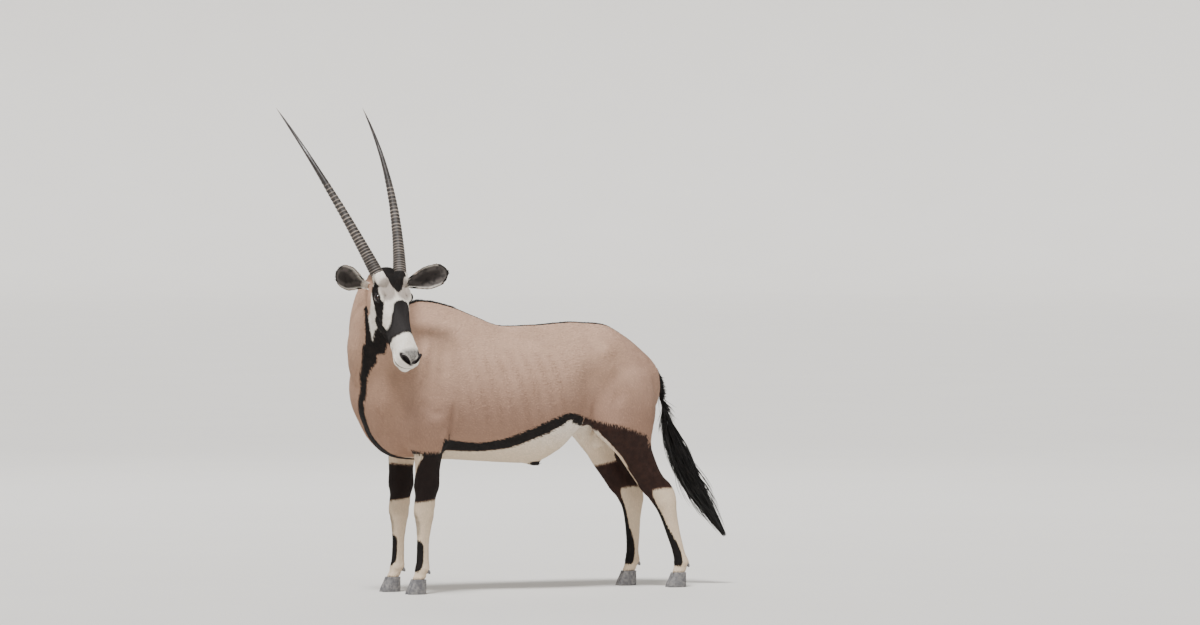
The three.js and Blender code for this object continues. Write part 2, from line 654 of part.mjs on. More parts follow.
// Ears: a leaf-shaped cup on a short stalk. Rows along it: share of the length, half width, depth of the cup.
const EAR = {
  length: 228,
  root: [12, 60, -8],
  aim: [-0.07, 0.916, 0.395],
  open: [0.5, 0.15, 0.84],
  wall: 5,
  steps: 7,
};
const EAR_SHAPE = [
  [0, 16, 18],
  [0.16, 17, 18],
  [0.3, 26, 26],
  [0.45, 40, 30],
  [0.62, 50, 26],
  [0.78, 49, 19],
  [0.9, 38, 12],
  [0.97, 22, 7],
  [1, 8, 5],
];
function ear(side) {
  const mirrored = ([forth, left, up]) => [forth, side * left, up];
  const along = headward(...mirrored(EAR.aim)).normalize();
  const open = headward(...mirrored(EAR.open));
  open.addScaledVector(along, -open.dot(along)).normalize();
  const wide = along.clone().cross(open);
  const shape = through(EAR_SHAPE.map((row) => row[0]), EAR_SHAPE.map((row) => row.slice(1)));
  const root = inHead(...mirrored(EAR.root));
  const turns = Array.from({ length: EAR.steps + 1 }, (_, k) => Math.PI * (k / EAR.steps - 0.5));
  const rings = [0, 0.08, 0.18, 0.3, 0.42, 0.54, 0.66, 0.77, 0.86, 0.93, 0.975, 1].map((t) => {
    const [width, depth] = shape(t);
    const wall = Math.min(EAR.wall, 0.6 * width);
    const arc = (inset) => (turn) =>
      root
        .clone()
        .addScaledVector(along, t * EAR.length * SIZE)
        .addScaledVector(wide, (width - inset) * Math.sin(turn) * SIZE)
        .addScaledVector(open, (inset - depth) * Math.cos(turn) * SIZE);
    return [...turns.map(arc(0)), ...turns.map(arc(wall)).reverse()];
  });
  return largest(solid(hull(rings)).subtract(seat));
}

// The tail: a thin dock, and a tassel of long locks that follow it and swing out behind the hocks.
const DOCK = [
  [565, 0, 925, 180, -30, 20, 18, 18, 1, 1],
  [592, 0, 900, 180, -70, 18, 17, 17, 1, 1],
  [620, 0, 800, 180, -78, 14, 13, 13, 1, 1],
  [645, 0, 690, 180, -76, 11, 10, 10, 1, 1],
  [668, 0, 610, 180, -72, 8, 8, 8, 1, 1],
];
const DOCK_FORM = { count: 9, sides: 10 };
const TASSEL = [
  // x, y, z, yaw, pitch, half width, rise and drop of the whole tassel
  [640, 0, 712, 180, -76, 27, 26, 26, 1, 1],
  [667, 0, 630, 180, -72, 42, 40, 40, 1, 1],
  [708, 0, 536, 180, -64, 48, 46, 46, 1, 1],
  [758, 0, 436, 180, -58, 42, 40, 40, 1, 1],
  [832, 0, 326, 180, -56, 27, 26, 26, 1, 1],
  [908, 0, 216, 180, -58, 8, 8, 8, 1, 1],
];
const TASSEL_CORE = [
  [640, 0, 712, 180, -76, 22, 21, 21, 1, 1],
  [664, 0, 630, 180, -72, 34, 32, 32, 1, 1],
  [704, 0, 536, 180, -64, 32, 30, 30, 1, 1],
  [748, 0, 456, 180, -58, 16, 16, 16, 1, 1],
];
const TASSEL_LOCKS = { tiers: 5, each: 4, width: 24, thick: 8, span: [0.34, 0.48], start: [0.05, 0.56] };
function tassel() {
  const curve = curveOf(sized(TASSEL));
  const draw = draws(11);
  const locks = [];
  for (let tier = 0; tier < TASSEL_LOCKS.tiers; tier += 1) {
    for (let k = 0; k < TASSEL_LOCKS.each; k += 1) {
      const [first, last] = TASSEL_LOCKS.start;
      const start = first + ((last - first) * (tier + draw(-0.3, 0.3))) / (TASSEL_LOCKS.tiers - 1);
      const end = Math.min(start + draw(...TASSEL_LOCKS.span) + 0.02 * tier, 1);
      const angle = (2 * Math.PI * (k + 0.5 * (tier % 2) + draw(-0.2, 0.2))) / TASSEL_LOCKS.each;
      const flare = draw(0.75, 1.15);
      const place = (t) => {
        const [x, y, z, yaw, pitch, half] = curve.at((start + (end - start) * t) * curve.length);
        const frame = directions(yaw, pitch);
        const across = frame.left.clone().multiplyScalar(Math.cos(angle));
        const out = across.addScaledVector(frame.back, Math.sin(angle));
        const off = half * flare * (0.3 + 1.5 * t - 0.95 * t * t);
        const centre = vec(x, y, z).addScaledVector(out, off);
        return { centre, out, side: out.clone().cross(frame.normal) };
      };
      locks.push(
        lock(
          (t) => place(t).centre,
          (t) => place(t).side,
          (t) => place(t).out,
          TASSEL_LOCKS.width * SIZE * draw(0.85, 1.15),
          TASSEL_LOCKS.thick * SIZE,
        ),
      );
    }
  }
  const core = body(TASSEL_CORE, { count: 6, sides: 8, roundStart: 12, roundEnd: 14 });
  return largest(join([core, ...locks]).subtract(body(DOCK, { ...DOCK_FORM, margin: GAP })));
}

// Two claws stand under each leg, a cleft apart. Rows from the coronet to the sole: z, x shift, half width,
// reach forward, reach aft.
const CLAW = [
  [62, 0, 14, 27, 26],
  [40, -3, 16, 35, 30],
  [14, -7, 17, 44, 34],
  [0, -9, 16.5, 47, 35],
];
const CLAW_OUT = 15;
const CLEFT = 3;
function claw(leg, side, way) {
  const foot = leg.rows.at(-1);
  const [x, middle] = [legX(foot, side), -side * foot[3]];
  const y = middle - side * way * CLAW_OUT;
  const rows = CLAW.map(([z, shift, ...sizes]) => [x + shift, y, z, 0, -90, ...sizes, 1, 1]);
  const cleft = block(
    vec(x - 200, middle - CLEFT / 2, -10).multiplyScalar(SIZE),
    vec(x + 200, middle + CLEFT / 2, 100).multiplyScalar(SIZE),
  );
  const coronet = beyond(vec(0, 0, foot[0] * SIZE - GAP), vec(0, 0, 1));
  return largest(body(rows, { count: 5, sides: 10 }).subtract(join([cleft, coronet])));
}

const root = new THREE.Group();
function show(name, made, material) {
  const { vertProperties, triVerts } = made.getMesh();
  const geometry = new THREE.BufferGeometry();
  geometry.setAttribute("position", new THREE.Float32BufferAttribute(vertProperties, 3));
  geometry.setIndex(Array.from(triVerts));
  const mesh = new THREE.Mesh(geometry, material);
  mesh.name = name;
  root.add(mesh);
}

show("torso", torso(), COAT);
show("neck", neck(), COAT);
show("head", head(), MASK);
show("tail_dock", largest(body(DOCK, DOCK_FORM).subtract(seat)), COAT);
show("tail_tassel", tassel(), TAIL_HAIR);
for (const [name, side] of Object.entries(SIDES)) {
  show(`eye_${name}`, eyeball(side), EYE_WET);
  show(`horn_${name}`, horn(side), KERATIN);
  show(`ear_${name}`, ear(side), COAT);
  for (const [pair, leg] of Object.entries(LEGS)) {
    show(`leg_${pair}_${name}`, largest(flesh.intersect(legRegion(leg, side, 0))), SOCK);
    show(`claw_${pair}_${name}_outer`, claw(leg, side, 1), HOOF);
    show(`claw_${pair}_${name}_inner`, claw(leg, side, -1), HOOF);
  }
}

// The origin is on the floor, under the middle of the whole model.
const box = new THREE.Box3().setFromObject(root);
root.position.set(-(box.min.x + box.max.x) / 2, -(box.min.y + box.max.y) / 2, -box.min.z);
root.updateMatrixWorld(true);

export default root;
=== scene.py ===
"""The looks of a life-size gemsbok bull that stands with its head turned to its left, in the part's frame."""

import bpy
import numpy as np
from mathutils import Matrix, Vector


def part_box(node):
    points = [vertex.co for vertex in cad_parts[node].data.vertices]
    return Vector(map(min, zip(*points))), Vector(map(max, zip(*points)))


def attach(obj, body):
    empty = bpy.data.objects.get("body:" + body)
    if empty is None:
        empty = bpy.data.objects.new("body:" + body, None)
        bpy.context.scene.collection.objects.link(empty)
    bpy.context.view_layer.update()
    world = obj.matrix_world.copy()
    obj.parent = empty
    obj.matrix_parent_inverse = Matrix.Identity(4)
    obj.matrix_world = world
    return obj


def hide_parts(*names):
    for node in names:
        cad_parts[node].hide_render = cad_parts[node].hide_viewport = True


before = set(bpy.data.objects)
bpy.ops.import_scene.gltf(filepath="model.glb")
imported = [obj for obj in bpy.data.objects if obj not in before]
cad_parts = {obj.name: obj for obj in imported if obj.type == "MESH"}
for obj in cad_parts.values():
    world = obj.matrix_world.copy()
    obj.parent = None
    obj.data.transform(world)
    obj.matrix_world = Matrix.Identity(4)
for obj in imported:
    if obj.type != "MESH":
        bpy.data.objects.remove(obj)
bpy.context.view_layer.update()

MM = 0.001
# Left is -Y and forward is -X. The skin lies this deep under the part's own surface, for the coat to fill.
LEFT, RIGHT = 1.0, -1.0
COAT_DEPTH, LEG_COAT_DEPTH, DOCK_COAT_DEPTH, SHEATH_COAT_DEPTH = 3.0, 1.2, 1.5, 1.0
draw = np.random.default_rng(2602)

# The body's sizes, as in the part's source.
# x, y, z of a section's middle, yaw and pitch of its normal, half width, rise, drop, ridge, keel
TRUNK = [
    (-776, 0, 850, 0, 0, 96, 140, 130, 1.1, 1.1),
    (-728, 0, 835, 0, 0, 126, 190, 152, 1.1, 1.15),
    (-686, 0, 826, 0, 0, 146, 240, 206, 1.1, 1.2),
    (-640, 0, 826, 0, 0, 158, 280, 250, 1.15, 1.2),
    (-590, 0, 830, 0, 0, 168, 320, 276, 1.25, 1.2),
    (-480, 0, 840, 0, 0, 180, 368, 296, 1.45, 1.1),
    (-370, 0, 840, 0, 0, 188, 352, 296, 1.4, 1.05),
    (-240, 0, 838, 0, 0, 202, 304, 302, 1.3, 1),
    (-110, 0, 836, 0, 0, 214, 262, 309, 1.2, 1),
    (30, 0, 842, 0, 0, 220, 257, 318, 1.15, 1),
    (130, 0, 868, 0, 0, 212, 238, 300, 1.15, 1),
    (230, 0, 900, 0, 0, 190, 209, 244, 1.1, 1),
    (340, 0, 905, 0, 0, 176, 196, 216, 1.1, 1),
    (440, 0, 880, 0, 0, 162, 172, 196, 1.15, 1),
    (530, 0, 850, 0, 0, 136, 132, 160, 1.15, 1),
    (592, 0, 835, 0, 0, 104, 90, 110, 1.1, 1),
]
NECK = [
    (-440, 0, 930, 0, 20, 144, 255, 300, 1.3, 1.1),
    (-560, 0, 975, 4, 34, 142, 238, 262, 1.3, 1.1),
    (-643, -20, 1035, 16, 44, 130, 190, 212, 1.3, 1.05),
    (-694, -62, 1110, 38, 52, 114, 148, 165, 1.25, 1),
    (-714, -112, 1180, 62, 52, 100, 118, 126, 1.2, 1),
    (-718, -160, 1232, 84, 38, 90, 90, 106, 1.1, 1),
    (-719, -205, 1256, 96, 12, 80, 66, 92, 1.1, 1),
]
HEAD_AT = np.array([-719.0, -205.0, 1276.0])
HEAD_YAW, HEAD_PITCH = 99.0, -57.0
# forth, height of the widest level, half width, rise, drop, ridge, keel
HEAD = [
    (-60, 4, 48, 42, 50, 1, 1),
    (-38, 8, 64, 54, 84, 0.95, 1),
    (0, 13, 74, 54, 122, 0.9, 1),
    (44, 17, 81, 50, 154, 0.85, 1.1),
    (86, 19, 83, 44, 158, 0.85, 1.15),
    (120, 15, 74, 43, 146, 0.85, 1.2),
    (156, 9, 63, 45, 128, 0.9, 1.2),
    (200, 2, 54, 46, 104, 0.95, 1.15),
    (258, -2, 47, 48, 80, 1, 1.05),
    (310, -4, 50, 48, 66, 0.95, 0.95),
    (346, -8, 56, 46, 60, 0.85, 0.9),
    (390, -12, 53, 40, 50, 0.85, 0.9),
]
MUZZLE_ROUND, TRUNK_ROUND = 34.0, (80, 46)
# height, x of the left leg, x of the right leg, distance out, half width, reach forward, reach aft
FORE_LEG = [
    (1040, -430, -430, 95, 40, 70, 90),
    (900, -480, -480, 118, 60, 120, 130),
    (760, -510, -510, 126, 64, 125, 135),
    (650, -502, -508, 120, 58, 88, 112),
    (590, -494, -509, 115, 49, 57, 80),
    (500, -490, -514, 110, 40, 48, 58),
    (445, -492, -514, 108, 37, 52, 60),
    (400, -496, -518, 106, 35, 41, 50),
    (360, -499, -521, 105, 35, 42, 45),
    (325, -500, -522, 105, 36, 41, 44),
    (282, -502, -524, 105, 28, 31, 37),
    (200, -506, -526, 105, 21, 24, 29),
    (140, -507, -528, 105, 21.5, 25, 30),
    (105, -509, -531, 105, 26, 28, 34),
    (78, -516, -540, 105, 24, 26, 28),
    (62, -522, -548, 105, 27, 30, 27),
]
HIND_LEG = [
    (960, 360, 355, 88, 60, 120, 150),
    (860, 385, 375, 102, 80, 160, 160),
    (760, 385, 372, 108, 80, 158, 162),
    (670, 386, 364, 110, 70, 132, 148),
    (600, 411, 374, 106, 56, 84, 115),
    (540, 450, 401, 104, 46, 62, 93),
    (459, 513, 461, 102, 38, 66, 73),
    (410, 557, 504, 100, 33, 76, 73),
    (365, 584, 527, 100, 33, 57, 60),
    (330, 600, 536, 100, 31, 47, 45),
    (277, 617, 538, 100, 26, 38, 35),
    (215, 636, 540, 100, 23, 33, 29),
    (150, 655, 537, 100, 22, 28, 27),
    (100, 667, 534, 100, 26, 30, 35),
    (76, 662, 526, 100, 24, 28, 29),
    (62, 656, 520, 100, 27, 31, 28),
]
LEGS = [
    ("fore_left", FORE_LEG, LEFT), ("fore_right", FORE_LEG, RIGHT),
    ("hind_left", HIND_LEG, LEFT), ("hind_right", HIND_LEG, RIGHT),
]
SIDES = [(LEFT, "left"), (RIGHT, "right")]
# Rows as the trunk's.
SHEATH = [
    (-20, 0, 552, 0, -10, 34, 24, 26, 1, 1),
    (30, 0, 536, 180, -10, 26, 20, 22, 1, 1),
    (66, 0, 522, 180, -20, 13, 12, 13, 1, 1),
]
DOCK = [
    (565, 0, 925, 180, -30, 20, 18, 18, 1, 1),
    (592, 0, 900, 180, -70, 18, 17, 17, 1, 1),
    (620, 0, 800, 180, -78, 14, 13, 13, 1, 1),
    (645, 0, 690, 180, -76, 11, 10, 10, 1, 1),
    (668, 0, 610, 180, -72, 8, 8, 8, 1, 1),
]
TASSEL = [
    (640, 0, 712, 180, -76, 27, 26, 26, 1, 1),
    (667, 0, 630, 180, -72, 42, 40, 40, 1, 1),
    (708, 0, 536, 180, -64, 48, 46, 46, 1, 1),
    (758, 0, 436, 180, -58, 42, 40, 40, 1, 1),
    (832, 0, 326, 180, -56, 27, 26, 26, 1, 1),
    (908, 0, 216, 180, -58, 8, 8, 8, 1, 1),
]
# Places and directions on the head are forth, outward and up in its own frame.
EYE_FORTH, EYE_OUT, EYE_UP, EYE_RADIUS = 84.0, 70.0, 29.0, 19.0
EYEBALL_RADIUS, CORNEA_RISE = 18.6, 0.9
HORN_LENGTH = 922.0
HORN_ROOT, HORN_AIM, HORN_BEND = (12, 47, 50), (-1, 0.272, 0.106), (0, -0.086, -0.188)
# Share of the length, radius.
HORN_GIRTH = [(0, 28), (0.06, 26.8), (0.14, 24), (0.25, 20.8), (0.5, 14.5), (0.75, 8.6), (0.93, 4), (1, 1)]
EAR_LENGTH, EAR_WALL = 228.0, 5.0
EAR_ROOT, EAR_AIM, EAR_OPEN = (12, 60, -8), (-0.07, 0.916, 0.395), (0.5, 0.15, 0.84)
# Share of the length, half width, depth of the cup.
EAR_SHAPE = [
    (0, 16, 18), (0.16, 17, 18), (0.3, 26, 26), (0.45, 40, 30), (0.62, 50, 26), (0.78, 49, 19),
    (0.9, 38, 12), (0.97, 22, 7), (1, 8, 5),
]
# Height, shift aft, half width, reach forward, reach aft.
CLAW = [(62, 0, 14, 27, 26), (40, -3, 16, 35, 30), (14, -7, 17, 44, 34), (0, -9, 16.5, 47, 35)]
CLAW_OUT, CLEFT = 15.0, 3.0
PEDICEL_SIZE, PEDICEL_OUT = (31, 31, 46), 2


# Curves and frames.
def unit(v):
    """Vectors made one long."""
    return v / np.maximum(np.linalg.norm(v, axis=-1, keepdims=True), 1e-12)


def directions(yaw, pitch):
    """Normal, left and back of a section whose normal is turned by yaw from ahead (-X) to the left (-Y) and
    lifted by pitch."""
    turn, lift = np.radians(np.asarray(yaw, float)), np.radians(np.asarray(pitch, float))
    zero, up = np.zeros_like(turn), np.array([0.0, 0.0, 1.0])
    ahead = np.stack([-np.cos(turn), -np.sin(turn), zero], -1)
    normal = ahead * np.cos(lift)[..., None] + up * np.sin(lift)[..., None]
    left = np.stack([np.sin(turn), -np.cos(turn), zero], -1)
    back = up * np.cos(lift)[..., None] - ahead * np.sin(lift)[..., None]
    return normal, left, back


def through(knots, rows):
    """A curve through rows of numbers that never overshoots them: cubic pieces, each slope the weighted
    harmonic mean of the steps on its two sides, and level where they disagree in sign."""
    knots, rows = np.asarray(knots, float), np.asarray(rows, float)
    step = np.diff(knots)[:, None]
    rise = np.diff(rows, axis=0) / step
    slope = np.zeros_like(rows)
    slope[0], slope[-1] = rise[0], rise[-1]
    before, after = 2 * step[1:] + step[:-1], step[1:] + 2 * step[:-1]
    same = rise[:-1] * rise[1:] > 0
    safe = np.where(same, rise[:-1], 1.0), np.where(same, rise[1:], 1.0)
    slope[1:-1] = np.where(same, (before + after) / (before / safe[0] + after / safe[1]), 0.0)

    def at(x):
        x = np.clip(np.asarray(x, float), knots[0], knots[-1])
        i = np.clip(np.searchsorted(knots, x, side="right") - 1, 0, len(knots) - 2)
        h = step[i]
        t = (x - knots[i])[..., None] / h
        t2, t3 = t * t, t * t * t
        return (
            (2 * t3 - 3 * t2 + 1) * rows[i]
            + (t3 - 2 * t2 + t) * h * slope[i]
            + (3 * t2 - 2 * t3) * rows[i + 1]
            + (t3 - t2) * h * slope[i + 1]
        )

    return at


def line_through(pairs):
    """A smooth curve y(x) through pairs, held level past both ends."""
    curve = through([p[0] for p in pairs], [p[1:] for p in pairs])
    return lambda x: curve(x)[..., 0]


def course(rows):
    """Length of a row of sections, and the rows by distance along their centres."""
    rows = np.array(rows, float)
    knots = np.concatenate([[0], np.cumsum(np.linalg.norm(np.diff(rows[:, :3], axis=0), axis=1))])
    return knots[-1], through(knots, rows)


def smooth(x, low, high):
    """0 below low, 1 above high and an S curve between."""
    t = np.clip((x - low) / (high - low), 0, 1)
    return t * t * (3 - 2 * t)


head_axes = directions(HEAD_YAW, HEAD_PITCH)


def in_head(forth, left, up):
    """A point of the head's own frame, in the body's."""
    amounts = np.broadcast_arrays(np.asarray(forth, float), left, up)
    return HEAD_AT + sum(a[..., None] * axis for a, axis in zip(amounts, head_axes))


def headward(forth, left, up):
    """A direction of the head's own frame, in the body's."""
    return in_head(forth, left, up) - HEAD_AT


def from_head(points):
    """Forth, left and up of points in the head's own frame."""
    d = points - HEAD_AT
    return tuple(d @ axis for axis in head_axes)


# The part stands with its box's middle on the origin, so the body's frame is moved to meet its left eye.
eye_low, eye_high = (np.array(corner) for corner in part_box("eye_left"))
SHIFT = (eye_low + eye_high) / 2 / MM - in_head(EYE_FORTH, EYE_OUT, EYE_UP)
SHIFT[2] = 0.0


# Shapes.
def signed_power(value, power):
    """The value's size raised to a power, with its sign kept."""
    return np.sign(value) * np.abs(value) ** power


def section(rows, angle, open_by=1.0, margin=0.0):
    """Points of sections: half width times cosine across, and rise or drop times sine along, where the
    cosine's power above and below makes a ridge or keel."""
    normal, left, back = directions(rows[:, 3], rows[:, 4])
    c, s = np.cos(angle)[None, :], np.sin(angle)[None, :]
    half, rise, drop, ridge, keel = (rows[:, k][:, None] for k in (5, 6, 7, 8, 9))
    over = s >= 0
    across = (half + margin) * open_by * signed_power(c, np.where(over, ridge, keel))
    along = s * (np.where(over, rise, drop) + margin) * open_by
    return rows[:, None, :3] + across[..., None] * left[:, None] + along[..., None] * back[:, None]


def stations(length, step, start, end):
    """Distances along a body, evenly spaced, and bunched as a cosine over its round ends."""
    bend = np.linspace(0.06, np.pi / 2, 9)[:-1]
    middle = np.linspace(start, length - end, max(int((length - start - end) / step), 2) + 1)
    first = start * (1 - np.cos(bend)) if start else []
    last = (length - end * (1 - np.cos(bend)))[::-1] if end else []
    return np.concatenate([first, middle, last])


def openness(distance, start, end, length):
    """How far the round ends have opened: a quarter of an ellipse from each pole."""
    grown = np.ones_like(distance)
    for gone, size in ((distance, start), (length - distance, end)):
        if size:
            grown = np.minimum(grown, np.sqrt(np.clip(1 - (1 - np.clip(gone / size, 0, 1)) ** 2, 0, 1)))
    return grown


def loft(rows, step=8.0, sides=48, start=0.0, end=0.0, margin=0.0):
    """A closed body: sections carried along the smooth course of their rows."""
    length, curve = course(rows)
    distance = stations(length, step, start, end)
    angle = np.linspace(0, 2 * np.pi, sides, endpoint=False)
    open_by = openness(distance, start, end, length)[:, None]
    return closed_grid(section(curve(distance), angle, open_by, margin))


def closed_grid(points):
    """A tube of rings made a closed shell: quads between rings, and a fan over each end."""
    n, m = points.shape[:2]
    r, k = np.meshgrid(np.arange(n - 1), np.arange(m), indexing="ij")
    a, b = r * m + k, r * m + (k + 1) % m
    quads = np.stack([a, b, b + m, a + m], -1).reshape(-1, 4)
    ring = np.arange(m)
    turned = np.roll(ring, -1)
    first = np.stack([turned, ring, np.full(m, n * m)], -1)
    last = np.stack([ring + (n - 1) * m, turned + (n - 1) * m, np.full(m, n * m + 1)], -1)
    poles = points[[0, -1]].mean(axis=1)
    return np.concatenate([points.reshape(-1, 3), poles]), quads, np.concatenate([first, last])


def looped_grid(points):
    """A grid that closes on itself both ways, as a torus does."""
    n, m = points.shape[:2]
    r, k = np.meshgrid(np.arange(n), np.arange(m), indexing="ij")
    ahead, next_k = (r + 1) % n, (k + 1) % m
    quads = np.stack([r * m + k, r * m + next_k, ahead * m + next_k, ahead * m + k], -1).reshape(-1, 4)
    return points.reshape(-1, 3), quads, np.zeros((0, 3), int)


def ellipsoid(centre, axes, sizes, rings=20, sides=32):
    """A ball stretched along three directions, its poles on the last of them."""
    polar = np.linspace(0, np.pi, rings + 2)[1:-1][:, None]
    turn = np.linspace(0, 2 * np.pi, sides, endpoint=False)[None, :]
    x, y = np.sin(polar) * np.cos(turn), np.sin(polar) * np.sin(turn)
    z = np.cos(polar) + 0 * turn
    parts = [v[..., None] * np.asarray(a) * s for v, a, s in zip((x, y, z), axes, sizes)]
    return closed_grid(np.asarray(centre) + sum(parts))


def outward(shell):
    """The shell with its faces turned out, if its volume says they point in."""
    points, quads, tris = shell
    all_tris = np.concatenate([quads[:, [0, 1, 2]], quads[:, [0, 2, 3]], tris])
    a, b, c = (points[all_tris[:, k]] for k in range(3))
    if (a * np.cross(b, c)).sum() < 0:
        return points, quads[:, ::-1], tris[:, ::-1]
    return shell


def joined(shells):
    """Several shells as one, each with its faces out."""
    points, quads, tris, base = [], [], [], 0
    for shell in shells:
        p, q, t = outward(shell)
        points.append(p)
        quads.append(q + base)
        tris.append(t + base)
        base += len(p)
    return np.concatenate(points), np.concatenate(quads), np.concatenate(tris)


def add_mesh(name, shell, attributes=None, shift=True, rounded=True):
    """A mesh object of a shell, with float attributes on its points. The shell is given in millimetres of
    the body's frame, or in metres of the part's where shift is off."""
    points, quads, tris = shell
    mesh = bpy.data.meshes.new(name)
    placed = (points + SHIFT) * MM if shift else points
    corners = np.concatenate([quads.reshape(-1), tris.reshape(-1)]).astype(np.int32)
    sizes = np.concatenate([np.full(len(quads), 4), np.full(len(tris), 3)])
    mesh.vertices.add(len(placed))
    mesh.vertices.foreach_set("co", np.ascontiguousarray(placed, np.float32).reshape(-1))
    mesh.loops.add(len(corners))
    mesh.loops.foreach_set("vertex_index", corners)
    mesh.polygons.add(len(sizes))
    starts = np.concatenate([[0], np.cumsum(sizes)[:-1]]).astype(np.int32)
    mesh.polygons.foreach_set("loop_start", starts)
    mesh.polygons.foreach_set("use_smooth", np.full(len(sizes), rounded))
    mesh.update(calc_edges=True)
    for key, values in (attributes or {}).items():
        layer = mesh.attributes.new(key, "FLOAT", "POINT")
        layer.data.foreach_set("value", np.ascontiguousarray(values, np.float32))
    ob = bpy.data.objects.new(name, mesh)
    bpy.context.scene.collection.objects.link(ob)
    return ob


def finished(ob, material, slot, *replaced):
    """Gives a piece its material and its body, and hides the nodes that it replaces. Its slot is not used."""
    ob.data.materials.append(material)
    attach(ob, "root")
    if replaced:
        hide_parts(*replaced)


def applied(ob):
    """The object's mesh with its modifiers made real, as points in millimetres of the body's frame and
    triangles. The object is removed."""
    evaluated = ob.evaluated_get(bpy.context.evaluated_depsgraph_get())
    mesh = bpy.data.meshes.new_from_object(evaluated)
    mesh.calc_loop_triangles()
    points = np.empty(len(mesh.vertices) * 3, np.float32)
    mesh.vertices.foreach_get("co", points)
    tris = np.empty(len(mesh.loop_triangles) * 3, np.int32)
    mesh.loop_triangles.foreach_get("vertices", tris)
    bpy.data.objects.remove(ob)
    bpy.data.meshes.remove(mesh)
    return points.reshape(-1, 3).astype(float) / MM - SHIFT, tris.reshape(-1, 3)


def normals_of(points, tris):
    """Each point's normal: the sum of its triangles' crosses, made one long."""
    a, b, c = (points[tris[:, k]] for k in range(3))
    cross = np.cross(b - a, c - a)
    total = np.stack(
        [sum(np.bincount(tris[:, k], cross[:, x], len(points)) for k in range(3)) for x in range(3)], -1
    )
    return unit(total)


def relaxed(points, tris, weight, rounds):
    """Points drawn towards the mean of their neighbours, by their weight, round after round."""
    pairs = np.concatenate([tris[:, [0, 1]], tris[:, [1, 2]], tris[:, [2, 0]]])
    pairs = np.unique(np.sort(pairs, axis=1), axis=0)
    one, two = pairs[:, 0], pairs[:, 1]
    count = len(points)
    degree = np.bincount(one, minlength=count) + np.bincount(two, minlength=count)

    def around(values):
        """For each point the sum of its neighbours' values."""
        return np.bincount(one, values[two], count) + np.bincount(two, values[one], count)

    for _ in range(rounds):
        mean = np.stack([around(column) for column in points.T], -1) / degree[:, None]
        points = points + (mean - points) * weight[:, None]
    return points


# The parts of the body, for the coat's lie and marks.
def leg_middle(row, side):
    """Where a leg's section stands, its x and y."""
    return row[1 if side == LEFT else 2], -side * row[3]


def leg_rows(table, side):
    """A leg's horizontal sections from the top down, as rows of a course."""
    return [(*leg_middle(r, side), r[0], 0, -90, r[4], r[5], r[6], 1, 1) for r in table]


head_rows = [tuple(in_head(r[0], 0, r[1])) + (HEAD_YAW, HEAD_PITCH) + r[2:] for r in HEAD]
PARTS = {
    # rows, whether the coat lies towards the last row, and its tile in the map of the coat
    "trunk": (TRUNK, False, (0.02, 0.02, 0.46, 0.46)),
    "neck": (NECK, False, (0.52, 0.02, 0.22, 0.46)),
    "head": (head_rows, False, (0.76, 0.02, 0.22, 0.46)),
    "fore_left": (leg_rows(FORE_LEG, LEFT), True, (0.02, 0.52, 0.22, 0.22)),
    "fore_right": (leg_rows(FORE_LEG, RIGHT), True, (0.26, 0.52, 0.22, 0.22)),
    "hind_left": (leg_rows(HIND_LEG, LEFT), True, (0.5, 0.52, 0.22, 0.22)),
    "hind_right": (leg_rows(HIND_LEG, RIGHT), True, (0.74, 0.52, 0.22, 0.22)),
    "dock": (DOCK, True, (0.02, 0.76, 0.22, 0.22)),
}
NAMES = list(PARTS)
TRUNK_ID, NECK_ID, HEAD_ID, DOCK_ID = (NAMES.index(n) for n in ("trunk", "neck", "head", "dock"))
LEG_IDS = [NAMES.index(leg) for leg, _, _ in LEGS]
BACK_IDS = [TRUNK_ID] + LEG_IDS[2:]
# Share of a section over which two parts share a junction, and how fast a part's hold on the lie fades.
JUNCTION, HOLD, SAG = 0.22, 7, 0.3


def nearest_station(points, centres):
    """For each point the nearest of a row of centres."""
    best, least = np.zeros(len(points), int), np.full(len(points), np.inf)
    for i, centre in enumerate(centres):
        d = ((points - centre) ** 2).sum(1)
        closer = d < least
        best[closer], least[closer] = i, d[closer]
    return best


def placed(points, rows, count=72):
    """Where points lie in a body of sections: the share of its length, the angle round it, the distance
    from its centre line as a share of the section there, and the way it runs."""
    length, curve = course(rows)
    stops = np.linspace(0, length, count)
    at = curve(stops)
    normal, left, back = directions(at[:, 3], at[:, 4])
    i = nearest_station(points, at[:, :3])
    d = points - at[i, :3]
    across, along = (d * left[i]).sum(1), (d * back[i]).sum(1)
    ahead = (d * normal[i]).sum(1)
    reach = np.where(along >= 0, at[i, 6], at[i, 7])
    past = np.maximum(np.abs(ahead) - length / count, 0)
    ratio = np.hypot(across / at[i, 5], along / reach) + past / (0.5 * (at[i, 5] + reach))
    share = np.clip((stops[i] + ahead) / length, 0, 1)
    return share, np.arctan2(along / reach, across / at[i, 5]), ratio, normal[i]


